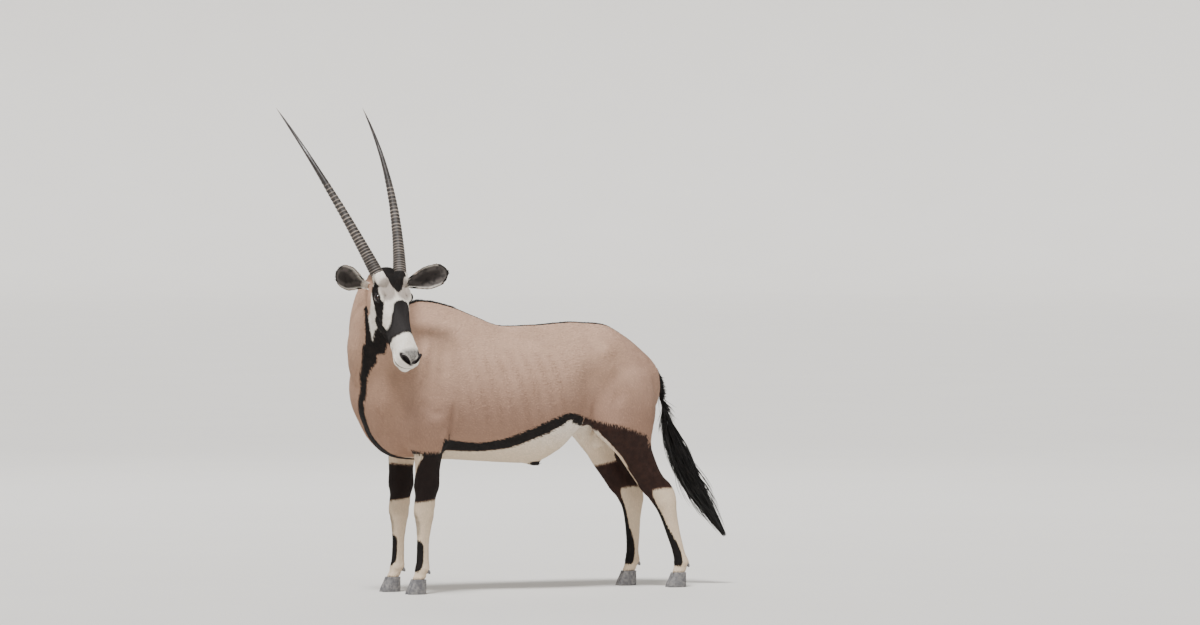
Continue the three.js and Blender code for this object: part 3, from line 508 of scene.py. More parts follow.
class Field:
    """The part each point belongs to, its place there, and the way the coat lies at it."""

    def __init__(self, points):
        found = [placed(points, rows) for rows, _, _ in PARTS.values()]
        self.shares = np.stack([f[0] for f in found])
        self.angles = np.stack([f[1] for f in found])
        self.ratios = np.stack([f[2] for f in found])
        self.part = np.argmin(self.ratios, axis=0)
        order = np.sort(self.ratios, axis=0)
        self.junction = np.exp(-(((order[1] - order[0]) / JUNCTION) ** 2))
        pull = np.exp(-HOLD * (self.ratios - order[0]))
        signs = np.array([1.0 if down else -1.0 for _, down, _ in PARTS.values()])
        lie = sum(p[:, None] * s * f[3] for p, s, f in zip(pull, signs, found))
        lie[:, 2] -= SAG * pull[TRUNK_ID]
        self.lie = unit(lie)
        rows = np.arange(len(points))
        self.share = self.shares[self.part, rows]
        self.angle = self.angles[self.part, rows]

    def uv(self):
        """Places in the map of the coat: length along each part's tile, and angle up it."""
        tiles = np.array([tile for _, _, tile in PARTS.values()])[self.part]
        turn = self.angle / (2 * np.pi) + 0.5
        return np.stack([tiles[:, 0] + tiles[:, 2] * self.share, tiles[:, 1] + tiles[:, 3] * turn], -1)


# Ears, orbits, lids, nostrils and lips.
def tube(path, across, out, radius, sides=12, closed=False):
    """A round tube of a radius for each point of a path, in the plane of two directions there."""
    turn = np.linspace(0, 2 * np.pi, sides, endpoint=False)
    size = np.broadcast_to(np.asarray(radius, float), len(path))[:, None, None]
    ring = np.cos(turn)[None, :, None] * across[:, None] + np.sin(turn)[None, :, None] * out[:, None]
    points = path[:, None] + size * ring
    return looped_grid(points) if closed else closed_grid(points)


def along_path(path, up, closed=False):
    """Two directions square to a path, the second of them nearest to up."""
    way = np.roll(path, -1, 0) - np.roll(path, 1, 0) if closed else np.gradient(path, axis=0)
    way = unit(way)
    out = unit(up - way * (up * way).sum(1, keepdims=True))
    return np.cross(out, way), out


def mirrored(side, row):
    """A row of the head's frame, on one side of it."""
    return row[0], side * row[1], row[2]


def ear_axes(side):
    """The ear's root, the way along it, across it, and the way its cup opens."""
    along = unit(headward(*mirrored(side, EAR_AIM)))
    opening = headward(*mirrored(side, EAR_OPEN))
    opening = unit(opening - along * (opening @ along))
    return in_head(*mirrored(side, EAR_ROOT)), along, np.cross(along, opening), opening


def ear_shell(side):
    """A leaf-shaped cup: an arc of the outer wall and one of the inner at each share of the length, with
    the rim rolled a little and the hollow deepest over the stalk."""
    root, along, wide, opening = ear_axes(side)
    shape = through([r[0] for r in EAR_SHAPE], [r[1:] for r in EAR_SHAPE])
    t = np.concatenate([np.linspace(0, 0.9, 64), 1 - 0.1 * np.cos(np.linspace(0, np.pi / 2, 14))[1:] ** 1.5])
    size = shape(t) - 1.0
    wall = np.minimum(EAR_WALL - 1.0, 0.55 * size[:, 0])
    arch = np.linspace(-np.pi / 2, np.pi / 2, 33)
    turn = np.concatenate([arch, arch[::-1]])
    inset = np.where(np.arange(len(turn)) < len(arch), 0.0, 1.0)[None, :] * wall[:, None]
    lip = 4 * np.abs(np.sin(turn))[None, :] ** 6 * np.sin(np.pi * np.clip(t, 0, 1))[:, None]
    across = (size[:, :1] - inset) * np.sin(turn)[None, :]
    deep = (inset - size[:, 1:]) * np.cos(turn)[None, :] + lip
    middle = root + (t * EAR_LENGTH)[:, None, None] * along
    return closed_grid(middle + across[..., None] * wide + deep[..., None] * opening)


def pedicel(side):
    """The furred ring of skin that a horn's root stands in."""
    aim = unit(headward(*mirrored(side, HORN_AIM)))
    across = unit(np.cross(aim, head_axes[0]))
    middle = in_head(*mirrored(side, HORN_ROOT)) + PEDICEL_OUT * aim
    return ellipsoid(middle, (across, np.cross(aim, across), aim), PEDICEL_SIZE)


def eye_centre(side):
    """The middle of an eye."""
    return in_head(EYE_FORTH, side * EYE_OUT, EYE_UP)


# Half length and half height of the eye's opening, and how far its front corner is lowered, in degrees.
LID_LONG, LID_HIGH, LID_TILT = 18.0, 10.5, 14.0


def lid_plane(side, points):
    """Points seen along the eye's axis: how far along the lids' long way, across it, and out of the head."""
    forth, left, up = from_head(points)
    forth, out, up = forth - EYE_FORTH, side * left - EYE_OUT, up - EYE_UP
    tilt = np.radians(LID_TILT)
    return forth * np.cos(tilt) - up * np.sin(tilt), forth * np.sin(tilt) + up * np.cos(tilt), out


def lids(side, grow=1.0, lift=1.2, thick=3.4):
    """A closed fold round the eye's opening, that lies on a ball a little larger than the eye, pointed at
    both corners."""
    turn = np.linspace(0, 2 * np.pi, 96, endpoint=False)
    long = LID_LONG * grow * np.cos(turn)
    high = LID_HIGH * grow * signed_power(np.sin(turn), 1.25)
    tilt = np.radians(LID_TILT)
    reach = EYE_RADIUS + lift
    out = np.sqrt(np.maximum(reach**2 - long**2 - high**2, 9))
    forth, up = long * np.cos(tilt) + high * np.sin(tilt), high * np.cos(tilt) - long * np.sin(tilt)
    path = in_head(EYE_FORTH + forth, side * (EYE_OUT + out), EYE_UP + up)
    across, away = along_path(path, unit(path - eye_centre(side)), closed=True)
    heavy = thick * (1 + 0.25 * np.sin(turn)) * (1 - 0.3 * np.abs(np.cos(turn)) ** 8)
    return tube(path, across, away, heavy, closed=True)


head_shape = through([r[0] for r in HEAD], [r[1:] for r in HEAD])


def head_size(forth):
    """The head's section at a distance forth, closed by the round muzzle."""
    row = head_shape(forth)
    gone = np.clip((HEAD[-1][0] - np.asarray(forth, float)) / MUZZLE_ROUND, 0, 1)
    grown = np.sqrt(1 - (1 - gone) ** 2)
    level, half, rise, drop, ridge, keel = (row[..., k] for k in range(6))
    return level, half * grown, rise * grown, drop * grown, ridge, keel


def head_side(forth, up, side, lift=0.0):
    """A point of the head's side at a height."""
    level, half, rise, drop, ridge, keel = head_size(forth)
    over = up >= level
    share = np.where(over, (up - level) / rise, (level - up) / drop)
    across = half * np.sqrt(np.maximum(1 - share**2, 0)) ** np.where(over, ridge, keel)
    return in_head(forth, side * (across + lift), up)


# Height of the mouth's line, and where its corner lies and its side passes into the front.
MOUTH_UP, MOUTH_REACH = -27.0, (292, 362)


def mouth_path(rise, lift):
    """The line of the mouth: along one side, round the front of the muzzle and back."""
    up = MOUTH_UP + rise
    half = HEAD[-1][2]
    along = np.linspace(*MOUTH_REACH, 12)
    sag = 5 * np.sin(np.linspace(0, np.pi, 12))
    one, two = (head_side(along, up - sag, side, lift) for side in (LEFT, RIGHT))
    front = muzzle_front(np.linspace(0.82, -0.82, 15) * half, up) + lift * head_axes[0]
    path = np.concatenate([one, front, two[::-1]])
    for _ in range(3):
        path[1:-1] = 0.25 * path[:-2] + 0.5 * path[1:-1] + 0.25 * path[2:]
    knots = np.concatenate([[0], np.cumsum(np.linalg.norm(np.diff(path, axis=0), axis=1))])
    return through(knots, path)(np.linspace(0, knots[-1], 110))


def lip(way):
    """A lip above or below the line of the mouth, fuller at the front and gone at the corners."""
    path = mouth_path(way * 8.0, -5.0)
    across, out = along_path(path, unit(path - in_head(330, 0, -10)))
    full = np.sin(np.linspace(0.12, np.pi - 0.12, len(path))) ** 0.5
    return tube(path, across, out, 7.2 * full + 0.4)


# Place of a nostril on the muzzle's front, and half length and half height of its opening.
NOSTRIL_OUT, NOSTRIL_UP, NOSTRIL_SIZE = 28.0, 17.0, (25.0, 8.5)


def muzzle_front(left, up):
    """A point of the muzzle's round front."""
    level, half, high, low, _, _ = HEAD[-1][1:]
    share = np.minimum(np.hypot(left / half, (up - level) / (high if up >= level else low)), 0.999)
    return in_head(HEAD[-1][0] - MUZZLE_ROUND * (1 - np.sqrt(1 - share**2)), left, up)


def nostril_axes(side):
    """The middle of a nostril, its long way, the way across it and the way out."""
    long = headward(-0.57, side * 0.755, 0.335)
    out = unit(headward(0.72, side * 0.5, 0.42))
    long = unit(long - out * (long @ out))
    return muzzle_front(side * NOSTRIL_OUT, NOSTRIL_UP), long, np.cross(out, long), out


def nostril_rim(side):
    """The raised wing round a nostril: a closed tube, thick on the outer side."""
    at, long, high, out = nostril_axes(side)
    turn = np.linspace(0, 2 * np.pi, 72, endpoint=False)
    ring = np.cos(turn)[:, None] * long * NOSTRIL_SIZE[0] + np.sin(turn)[:, None] * high * NOSTRIL_SIZE[1]
    path = at + ring - 1.5 * out
    across, away = along_path(path, np.broadcast_to(out, path.shape), closed=True)
    return tube(path, across, away, 4.4 + 0.9 * np.cos(turn), closed=True)


# One skin.
body = joined(
    [
        loft(TRUNK, 14, 56, *TRUNK_ROUND, -COAT_DEPTH),
        loft(NECK, 12, 48, 0, 0, -COAT_DEPTH),
        loft(head_rows, 7, 44, 16, MUZZLE_ROUND, -COAT_DEPTH),
        loft(SHEATH, 6, 24, 0, 8, -SHEATH_COAT_DEPTH),
        loft(DOCK, 10, 24, 0, 0, -DOCK_COAT_DEPTH),
        ellipsoid((330, 0, 612), np.eye(3), (36, 31, 40)),
    ]
    + [loft(leg_rows(table, side), 9, 36, 0, 0, -LEG_COAT_DEPTH) for _, table, side in LEGS]
)
# Cell of the even mesh for the plain form and for the skin with its features, and the skin's triangles.
FORM_CELL, SKIN_CELL, SKIN_TRIANGLES = 5.5, 2.8, 190000


def remeshed(name, shell, voxel):
    """The union of overlapping closed shells, as one even surface."""
    ob = add_mesh(name, shell)
    change = ob.modifiers.new("even", "REMESH")
    change.mode = "VOXEL"
    change.voxel_size = voxel * MM
    return applied(ob)


points, tris = remeshed("form", body, FORM_CELL)
field = Field(points)
leg_part = smooth(points[:, 2], 480, 600)
by_head = np.exp(-5 * (field.ratios[HEAD_ID] - field.ratios.min(0)))
under_head = by_head * (1 - 0.6 * smooth(from_head(points)[2], -10, 60))
soft = 0.05 + 0.6 * field.junction * leg_part * (1 - 0.93 * under_head)
soft = np.minimum(soft, 0.7) * (1 - 0.8 * (1 - leg_part))
points = relaxed(points, tris, soft, 42)

NO_QUADS = np.zeros((0, 4), int)
# The ears, lids, nostril rims, horn roots, brows, lips and chin.
features = [(points, NO_QUADS, tris)]
features += [shape(side) for side in (LEFT, RIGHT) for shape in (ear_shell, lids, nostril_rim, pedicel)]
features += [ellipsoid(in_head(76, side * 64, 34), head_axes, (38, 17, 25), 28, 40) for side in (LEFT, RIGHT)]
features += [lip(1), lip(-1), ellipsoid(in_head(362, 0, -50), head_axes, (26, 27, 17))]
points, tris = remeshed("skin", joined(features), SKIN_CELL)

# Muscle, bone and folds.
# How far the lines' and the mounds' own amounts are raised.
LINE_GAIN, MOUND_GAIN = 1.6, 1.5


def on_line(u, v, line, width, taper=0.35):
    """1 on a line of two coordinates, less with distance over a width, fading out towards both its ends."""
    line = np.asarray(line, float)
    lengths = np.linalg.norm(np.diff(line, axis=0), axis=1)
    reached = np.concatenate([[0], np.cumsum(lengths)]) / lengths.sum()
    best, share = np.full(len(u), np.inf), np.zeros(len(u))
    for k, (a, b) in enumerate(zip(line[:-1], line[1:])):
        d = b - a
        t = np.clip(((u - a[0]) * d[0] + (v - a[1]) * d[1]) / (d @ d), 0, 1)
        gap = (u - a[0] - t * d[0]) ** 2 + (v - a[1] - t * d[1]) ** 2
        closer = gap < best
        best[closer] = gap[closer]
        share[closer] = (reached[k] + t * (reached[k + 1] - reached[k]))[closer]
    ends = smooth(np.minimum(share, 1 - share), 0, taper) if taper else 1.0
    return np.exp(-best / width**2) * ends


def mound(u, v, at, size):
    """1 at a place of two coordinates, less with distance."""
    return np.exp(-(((u - at[0]) / size[0]) ** 2) - ((v - at[1]) / size[1]) ** 2)


SIDE_LINES = [
    # amount out, width, line in x and z, on the body's sides
    (5.0, 24, [(-470, 1120), (-505, 1000), (-545, 880), (-590, 800)]),
    (-5.0, 30, [(-420, 1060), (-440, 930), (-450, 850)]),
    (-5.0, 30, [(-560, 1090), (-610, 980), (-650, 870)]),
    (-8.0, 15, [(-402, 800), (-400, 700), (-412, 605)]),
    (-4.0, 22, [(-560, 800), (-500, 750), (-430, 730)]),
    (-4.5, 18, [(520, 900), (538, 760), (548, 640)]),
    (-4.0, 24, [(330, 940), (350, 820), (330, 740)]),
    (5.0, 16, [(215, 800), (225, 730), (180, 660)]),
    (-3.0, 26, [(430, 960), (500, 880), (545, 800)]),
]
SIDE_MOUNDS = [
    # amount out, place and size in x and z, on the body's sides
    (8.0, (-455, 735), (70, 75)),
    (6.0, (-690, 790), (48, 52)),
    (-4.0, (-585, 690), (40, 40)),
    (6.0, (-425, 640), (34, 34)),
    (-11.0, (225, 865), (62, 78)),
    (8.0, (305, 985), (40, 30)),
    (8.0, (430, 840), (95, 100)),
    (6.0, (325, 665), (42, 46)),
    (3.0, (575, 905), (28, 28)),
    (5.0, (-120, 800), (150, 110)),
    (-3.0, (-640, 1010), (60, 50)),
]


def sculpted(points, normals, field):
    """How far each point of the body moves out along its normal, for muscle, bone and folds."""
    x, y, z = points.T
    flank = smooth(np.abs(normals[:, 1]), 0.2, 0.6)
    body_side = flank * (field.part != HEAD_ID)
    move = np.zeros(len(x))
    for amount, width, line in SIDE_LINES:
        move += LINE_GAIN * amount * on_line(x, z, line, width) * body_side
    for amount, at, size in SIDE_MOUNDS:
        move += MOUND_GAIN * amount * mound(x, z, at, size) * body_side
    ribs = smooth(x, -390, -300) * (1 - smooth(x, 60, 150)) * smooth(z, 640, 740) * (1 - smooth(z, 950, 1010))
    move += 0.9 * ribs * np.cos(2 * np.pi * (x + 0.28 * z) / 58) * body_side * (field.part == TRUNK_ID)
    neck = (field.part == NECK_ID) * smooth(field.share, 0.35, 0.6)
    throat = np.cos(field.angle)
    move -= 4.0 * neck * np.exp(-(((np.sin(field.angle) + 0.5) / 0.14) ** 2)) * (np.abs(throat) > 0.3)
    chest = np.exp(-((y / 16) ** 2)) * smooth(-x, 560, 640) * (1 - smooth(z, 820, 900))
    move -= 4.0 * chest * (field.part == TRUNK_ID)
    for leg, table, side in LEGS:
        here = field.part == NAMES.index(leg)
        f, o, _ = leg_place(points, table, side)
        flat = np.abs(o) / np.maximum(np.hypot(f, o), 1e-6)
        tendon = np.exp(-(((f + 0.25) / 0.2) ** 2)) * smooth(flat, 0.4, 0.9)
        cannon = smooth(z, 90, 120) * (1 - smooth(z, 270, 300))
        move -= 1.6 * here * tendon * cannon
        if table is FORE_LEG:
            knee = 1.8 * here * mound(f, z, (0.9, 342), (0.5, 22))
            move += knee - 1.5 * here * mound(f, z, (1.0, 312), (0.6, 8))
            move += 3.0 * here * mound(f, z, (-1.0, 366), (0.4, 14))
            move -= 2.0 * here * mound(f, z, (0.2, 470), (0.22, 70)) * smooth(flat, 0.4, 0.9)
            move += 3.0 * here * mound(f, z, (0.5, 530), (0.4, 60)) * smooth(flat, 0.4, 0.9)
        else:
            hollow = mound(f, z, (-0.42, 500), (0.22, 55)) * smooth(flat, 0.4, 0.9)
            move -= 7.0 * here * hollow
            move += 3.0 * here * mound(f, z, (-1.0, 432), (0.35, 16))
            move -= 3.0 * here * mound(f, z, (-0.2, 400), (0.25, 26)) * smooth(flat, 0.4, 0.9)
            move += 2.0 * here * mound(f, z, (0.7, 350), (0.5, 18))
        move -= 2.2 * here * mound(f, z, (-0.8, 84), (0.5, 7))
        move += 1.6 * here * mound(f, z, (0.2, 104), (1.2, 10))
        move += 1.2 * here * (1 - smooth(z, 62, 68))
    return move


def leg_place(points, table, side):
    """How far points lie forward and outward in a leg's section, as shares of it, and the section's mean
    radius."""
    rows = np.array(table, float)
    curve = through(-rows[:, 0], rows)
    at = curve(-points[:, 2])
    x = points[:, 0] - at[:, 1 if side == LEFT else 2]
    o = (-side * points[:, 1] - at[:, 3]) / at[:, 4]
    f = np.where(x < 0, -x / at[:, 5], -x / at[:, 6])
    return f, o, (at[:, 4] + 0.5 * (at[:, 5] + at[:, 6])) / 2


def head_sculpted(points, normals, field):
    """How far each point of the head moves out along its normal."""
    a, s, u = from_head(points)
    s = np.abs(s)
    here = (field.part == HEAD_ID) & (s < 110)
    side_on = smooth(np.abs(normals @ head_axes[1]), 0.25, 0.7) * here
    top_on = smooth(normals @ head_axes[2], 0.25, 0.7) * here
    move = 3.2 * on_line(a, u, [(62, -8), (110, -12), (165, -22), (205, -26)], 8) * side_on
    move -= 2.6 * on_line(a, u, [(70, -32), (120, -38), (180, -44)], 12) * side_on
    move += 4.0 * mound(a, u, (34, -48), (40, 36)) * side_on
    move -= 3.5 * mound(a, u, (118, 24), (22, 12)) * side_on
    move -= 3.0 * mound(a, u, (38, 30), (14, 14)) * side_on
    move += 2.5 * mound(a, u, (225, -8), (60, 16)) * side_on
    move -= 2.0 * on_line(a, s, [(130, 40), (200, 34), (280, 30), (320, 30)], 7) * top_on
    move += 2.5 * on_line(a, s, [(110, 0), (200, 0), (300, 0), (340, 0)], 17) * top_on
    move -= 2.5 * on_line(a, s, [(60, 0), (90, 0), (120, 0)], 14) * top_on
    move += 3.0 * mound(a, s, (62, 52), (20, 14)) * top_on
    return move


def mouth_gap(points, depths):
    """How far points lie from the line of the mouth, or from that line let in by any of several depths."""
    a, s, u = from_head(points)
    close = (a > 270) & (u < 0) & (a < 420)
    chosen = points[close]
    gap = np.full(len(chosen), 1e6)
    path = mouth_path(0.0, 0.0)
    inward = unit(in_head(320, 0, -22) - path)
    for depth in depths:
        for at in path + depth * inward:
            gap = np.minimum(gap, ((chosen - at) ** 2).sum(1))
    far = np.full(len(points), 1e3)
    far[close] = np.sqrt(gap)
    return far


def opened(points):
    """The skin let in where the eyes and nostrils open and along the mouth, and how far each point lies in
    the wet hide there."""
    wet = np.zeros(len(points))
    for side in (LEFT, RIGHT):
        long, high, out = lid_plane(side, points)
        span = np.sqrt(np.maximum(EYE_RADIUS**2 - long**2 - high**2, 1)) - 3.0
        inside = 1 - smooth(np.hypot(long / (LID_LONG - 1.5), high / (LID_HIGH - 1.6)), 0.88, 1.06)
        inside *= (out > 0) & (out < 30) & (np.abs(long) < 24)
        points = points - (inside * np.maximum(out - span, 0))[:, None] * side * head_axes[1]
        wet = np.maximum(wet, inside)
        at, along, across, away = nostril_axes(side)
        d = points - at
        p, q, r = d @ along, d @ across, d @ away
        pit = 1 - smooth(np.hypot(p / 27, (q - 0.006 * p**2) / 8.5), 0.4, 1.0)
        pit *= (r > -26) & (r < 16)
        slanted = unit(away - 0.55 * head_axes[0])
        points = points - (pit * (14.0 + np.clip(r, -4, 6)))[:, None] * slanted
        band = 1 - smooth(np.hypot(p / 36, (q - 0.005 * p**2) / (13.0 + 0.1 * p)), 0.86, 1.08)
        wet = np.maximum(wet, band * (r > -34) * (r < 18))
    mouth = np.exp(-((mouth_gap(points, (0.0,)) / 3.2) ** 2))
    inward = unit(in_head(320, 0, -22) - points)
    points = points + (mouth * 6.0)[:, None] * inward
    return points, wet


field = Field(points)
points = relaxed(points, tris, np.where((field.part == HEAD_ID) | (points[:, 2] < 560), 0.3, 0.5), 3)
normals = normals_of(points, tris)
move = sculpted(points, normals, field) + head_sculpted(points, normals, field)
points = points + move[:, None] * normals
points, wet = opened(points)


def thinned(points, tris, keep, target):
    """The surface with fewer triangles, where the more a point is to be kept the finer it stays."""
    ob = add_mesh("thin", (points, NO_QUADS, tris))
    group = ob.vertex_groups.new(name="fine")
    levels = np.round(keep * 10).astype(int)
    for level in range(11):
        chosen = np.nonzero(levels == level)[0]
        if len(chosen):
            group.add(chosen.tolist(), level / 10, "REPLACE")
    change = ob.modifiers.new("fewer", "DECIMATE")
    change.ratio = target / len(tris)
    change.vertex_group = "fine"
    change.invert_vertex_group = True
    change.vertex_group_factor = 1.0
    return applied(ob)


head_near = np.exp(-7 * (field.ratios[HEAD_ID] - field.ratios.min(0)))
keep = np.clip(0.15 + 0.75 * head_near + 0.25 * (points[:, 2] < 560), 0, 1)
points, tris = thinned(points, tris, keep, SKIN_TRIANGLES)


# Markings.
# Heights of the flank band's edges along the body, and of the thigh's brown after it.
stripe_top = line_through(
    [(-440, 640), (-366, 628), (-274, 619), (-182, 630), (-95, 658), (-4, 697), (71, 726), (114, 737),
     (180, 724), (259, 701), (379, 673), (500, 633), (600, 600)]
)
stripe_low = line_through(
    [(-440, 590), (-403, 588), (-260, 582), (-141, 594), (-27, 634), (79, 682), (130, 708), (180, 704)]
)
CHEST_LINE = [
    # x, distance to the left, z, half width
    (-783, 158, 1022, 12), (-765, 158, 1002, 29), (-757, 140, 968, 31), (-764, 120, 938, 21),
    (-768, 95, 893, 17), (-757, 66, 818, 18), (-752, 50, 799, 19), (-735, 25, 730, 22), (-716, 10, 673, 24),
    (-660, 10, 600, 26), (-560, 0, 552, 30), (-480, 0, 540, 34),
]
CHEEK_LINE = [
    # forth, distance out, up, half width, in the head's frame
    (30, 78, -52, 4), (58, 74, -70, 8), (75, 68, -80, 9), (106, 62, -106, 9), (139, 57, -131, 11),
    (168, 49, -157, 14), (180, 40, -170, 20),
]
# Over the forth of the head: the face's middle, and half widths of the crown's black and the blaze.
face_middle = line_through([(0, 12), (80, 15), (122, 15), (180, 6), (255, -4), (330, 0)])
crown_half = line_through(
    [(-60, 46), (6, 50), (14, 50), (24, 34), (50, 27), (62, 21), (73, 13), (82, -2), (90, -12)]
)
blaze_half = line_through(
    [(108, -12), (114, 4), (119, 24), (134, 38), (160, 43), (180, 47), (210, 50), (235, 62), (250, 70)]
)
# Over the up of the head: the front and the rear of the black line through the eye.
eye_front = line_through([(-70, 238), (-42, 202), (-17, 178), (13, 152), (32, 128), (58, 81), (70, 64)])
eye_rear = line_through([(-95, 150), (-70, 135), (-27, 124), (-5, 105), (6, 56), (20, 29), (40, 22)])


def to_line(points, line):
    """How deep points lie inside a band along a line of places with half widths."""
    best = np.full(len(points), -np.inf)
    for a, b in zip(line[:-1], line[1:]):
        a, b = np.array(a, float), np.array(b, float)
        d = b[:3] - a[:3]
        t = np.clip(((points - a[:3]) @ d) / (d @ d), 0, 1)
        gap = np.linalg.norm(points - a[:3] - t[:, None] * d, axis=1)
        best = np.maximum(best, a[3] + t * (b[3] - a[3]) - gap)
    return best


def both(*depths):
    """How deep points lie inside all of several areas."""
    return np.minimum.reduce(depths)


def either(*depths):
    """How deep points lie inside any of several areas."""
    return np.maximum.reduce(depths)


def arc(degrees, radius):
    """The length along a leg's skin of an angle round it."""
    return np.radians(degrees) * radius


# Depth that stands for well inside an area, or outside it when negative.
FAR = 30.0
# Heights of the legs' marks: the dark forearm, the pale patch at its top, the black on the cannons of the
# fore legs and the hind legs.
FOREARM_LOW, FOREARM_TOP, PATCH_TOP = 385, 590, 577
FORE_CANNON, HIND_CANNON = {LEFT: (97, 219), RIGHT: (113, 236)}, (90, 352)


def leg_marks(points, field, black, brown, cream):
    """The four legs' marks: a dark forearm with a pale patch at its top, over a pale knee and foot; a brown
    thigh and gaskin over a pale hock; and a black line down the front of each cannon."""
    x, y, z = points.T
    edge = stripe_top(x)
    for leg, table, side in LEGS:
        f, o, radius = leg_place(points, table, side)
        angle = np.degrees(np.arctan2(o, f))
        ratio = field.ratios[NAMES.index(leg)]
        other = np.min(field.ratios[[i for i in LEG_IDS if NAMES[i] != leg]], axis=0)
        here = (ratio < other) & (-side * y > 0)
        if table is FORE_LEG:
            in_leg = here & (z < 600) & ((field.part == NAMES.index(leg)) | (ratio < 1.12))
            if side == LEFT:
                patch = both(arc(15 + 0.8 * (z - 520) - angle, radius), arc(angle + 80, radius))
            else:
                patch = both(z - 528 - 4 * f, arc(12 - angle, radius))
            patch = both(patch, PATCH_TOP - z)
            forearm = both(FOREARM_TOP - 6 * o - z, z - (FOREARM_LOW - 7 * f), -patch)
            sock = both(FOREARM_LOW + 1 - 7 * f - z, z - 40)
            elbow = both(forearm, 12 - np.abs(z - 585) + 8 * (o > 0))
            low, top = FORE_CANNON[side]
            past = np.maximum(np.maximum(z - top + 26, low + 26 - z), 0)
            line = 31 - np.hypot(arc(angle - 10, radius), past)
            smudge = 0.5 * (15 - np.hypot(arc(angle - 8, radius), 0.4 * (z - 288)))
            brown[in_leg] = either(brown, forearm, np.minimum(smudge, -0.4))[in_leg]
            cream[in_leg] = either(both(cream, -forearm), sock, patch)[in_leg]
            black[in_leg] = either(black, line, 0.55 * elbow)[in_leg]
        else:
            in_leg = here & (ratio < 1.4) & (z < 745) & (x > 205)
            hock_top = np.interp(np.abs(angle), [0, 24, 40, 62, 90], [296, 318, 378, 408, 416])
            turned = np.where(angle < -120, angle + 360, angle)
            start = np.interp(z, [400, 520, 620], [10, 20, 24])
            outer = both(arc(turned - start, radius), arc(268 - turned, radius), edge - z)
            fringe = np.abs(angle + 12) - 16 if side == LEFT else 60
            round_it = both(518 - 14 * f - z, arc(fringe, radius) + 10.0 * (z < 430))
            link = both(edge - z, z - edge + 36, np.abs(y) - 62, z - 600)
            gaskin = either(both(either(outer, round_it), z - hock_top), link)
            hock = np.where(z > edge, -20, either(-gaskin - 1.0, hock_top - z))
            width = np.interp(z, [92, 104, 150, 185, 220, 250, 300, 352], [30, 36, 36, 31, 24, 16, 13, 12])
            low, top = HIND_CANNON
            line = both(width - arc(np.abs(angle - 12 * side), radius), top - z, z - low)
            brown[in_leg] = gaskin[in_leg]
            cream[in_leg] = hock[in_leg]
            black[in_leg] = line[in_leg]


def head_marks(points, field, black, brown, cream):
    """The mask: a white face with a black crown, a black blaze that widens down to the muzzle, a black line
    from the horn through the eye to the jaw, and one from the jaw up the cheek. It gives the depth in the
    grey smudge over each eye, and how far the blaze's black is painted paler grey as a sheen of light on it."""
    a, s, u = from_head(points)
    side = np.abs(s)
    near = field.ratios[HEAD_ID] < np.minimum(field.ratios[NECK_ID], 1.5)
    near |= (a > -10) & (a < 110) & (side < 74) & (u > 34)
    off = s - face_middle(a)
    crown = both(crown_half(a) - np.abs(off), u + 12, 92 - a)
    blaze = both(blaze_half(a) - np.abs(off), a - 110, 260 - a + 0.08 * np.abs(off), u + 30 + 0.4 * (a - 200))
    stripe = 0.75 * both(eye_front(u) - a, a - eye_rear(u), side - 30, 52 - u, u + 96)
    jaw = both(268 - a, a - 168 + 0.5 * (u + 60), -22 - u + 0.25 * (a - 200), side - 14, 0.9 * a + u - 75)
    cheek = to_line(np.stack([a, side, u], -1), CHEEK_LINE)
    before = a + u + np.interp(a, [30, 75, 110, 140, 170, 220], [22, 5, 0, -8, -12, -22])
    white = both(either(a - 258, a - np.interp(u, [-70, -25, 12, 40, 58], [98, 84, 44, 4, -28])), before)
    by_jaw = (field.part == NECK_ID) & (a > 60) & (a < 240) & (u < -40) & (u > -230) & (s < 40)
    black[near] = either(crown, blaze, stripe, jaw, cheek)[near]
    cream[near] = white[near]
    brown[near] = -FAR
    black[by_jaw] = either(black, np.minimum(cheek, 12))[by_jaw]
    cream[by_jaw] = either(cream, np.minimum(white, 9))[by_jaw]
    # Black under the jaw: partly the jaw's own dark hair, partly painted shade beneath the jaw.
    jaw_underside_dark_and_shade = both(34 - side, -84 - u, a - 150, 262 - a, u + 196)
    black[near | by_jaw] = either(black, jaw_underside_dark_and_shade)[near | by_jaw]
    smudge = both(40 - np.hypot(0.85 * (a - 66), 1.1 * (side - 38)), 0.5 * (u - 24))
    return np.where(near, smudge, -FAR), np.where(near, smooth(both(blaze, 60 - u), 2, 14), 0.0)


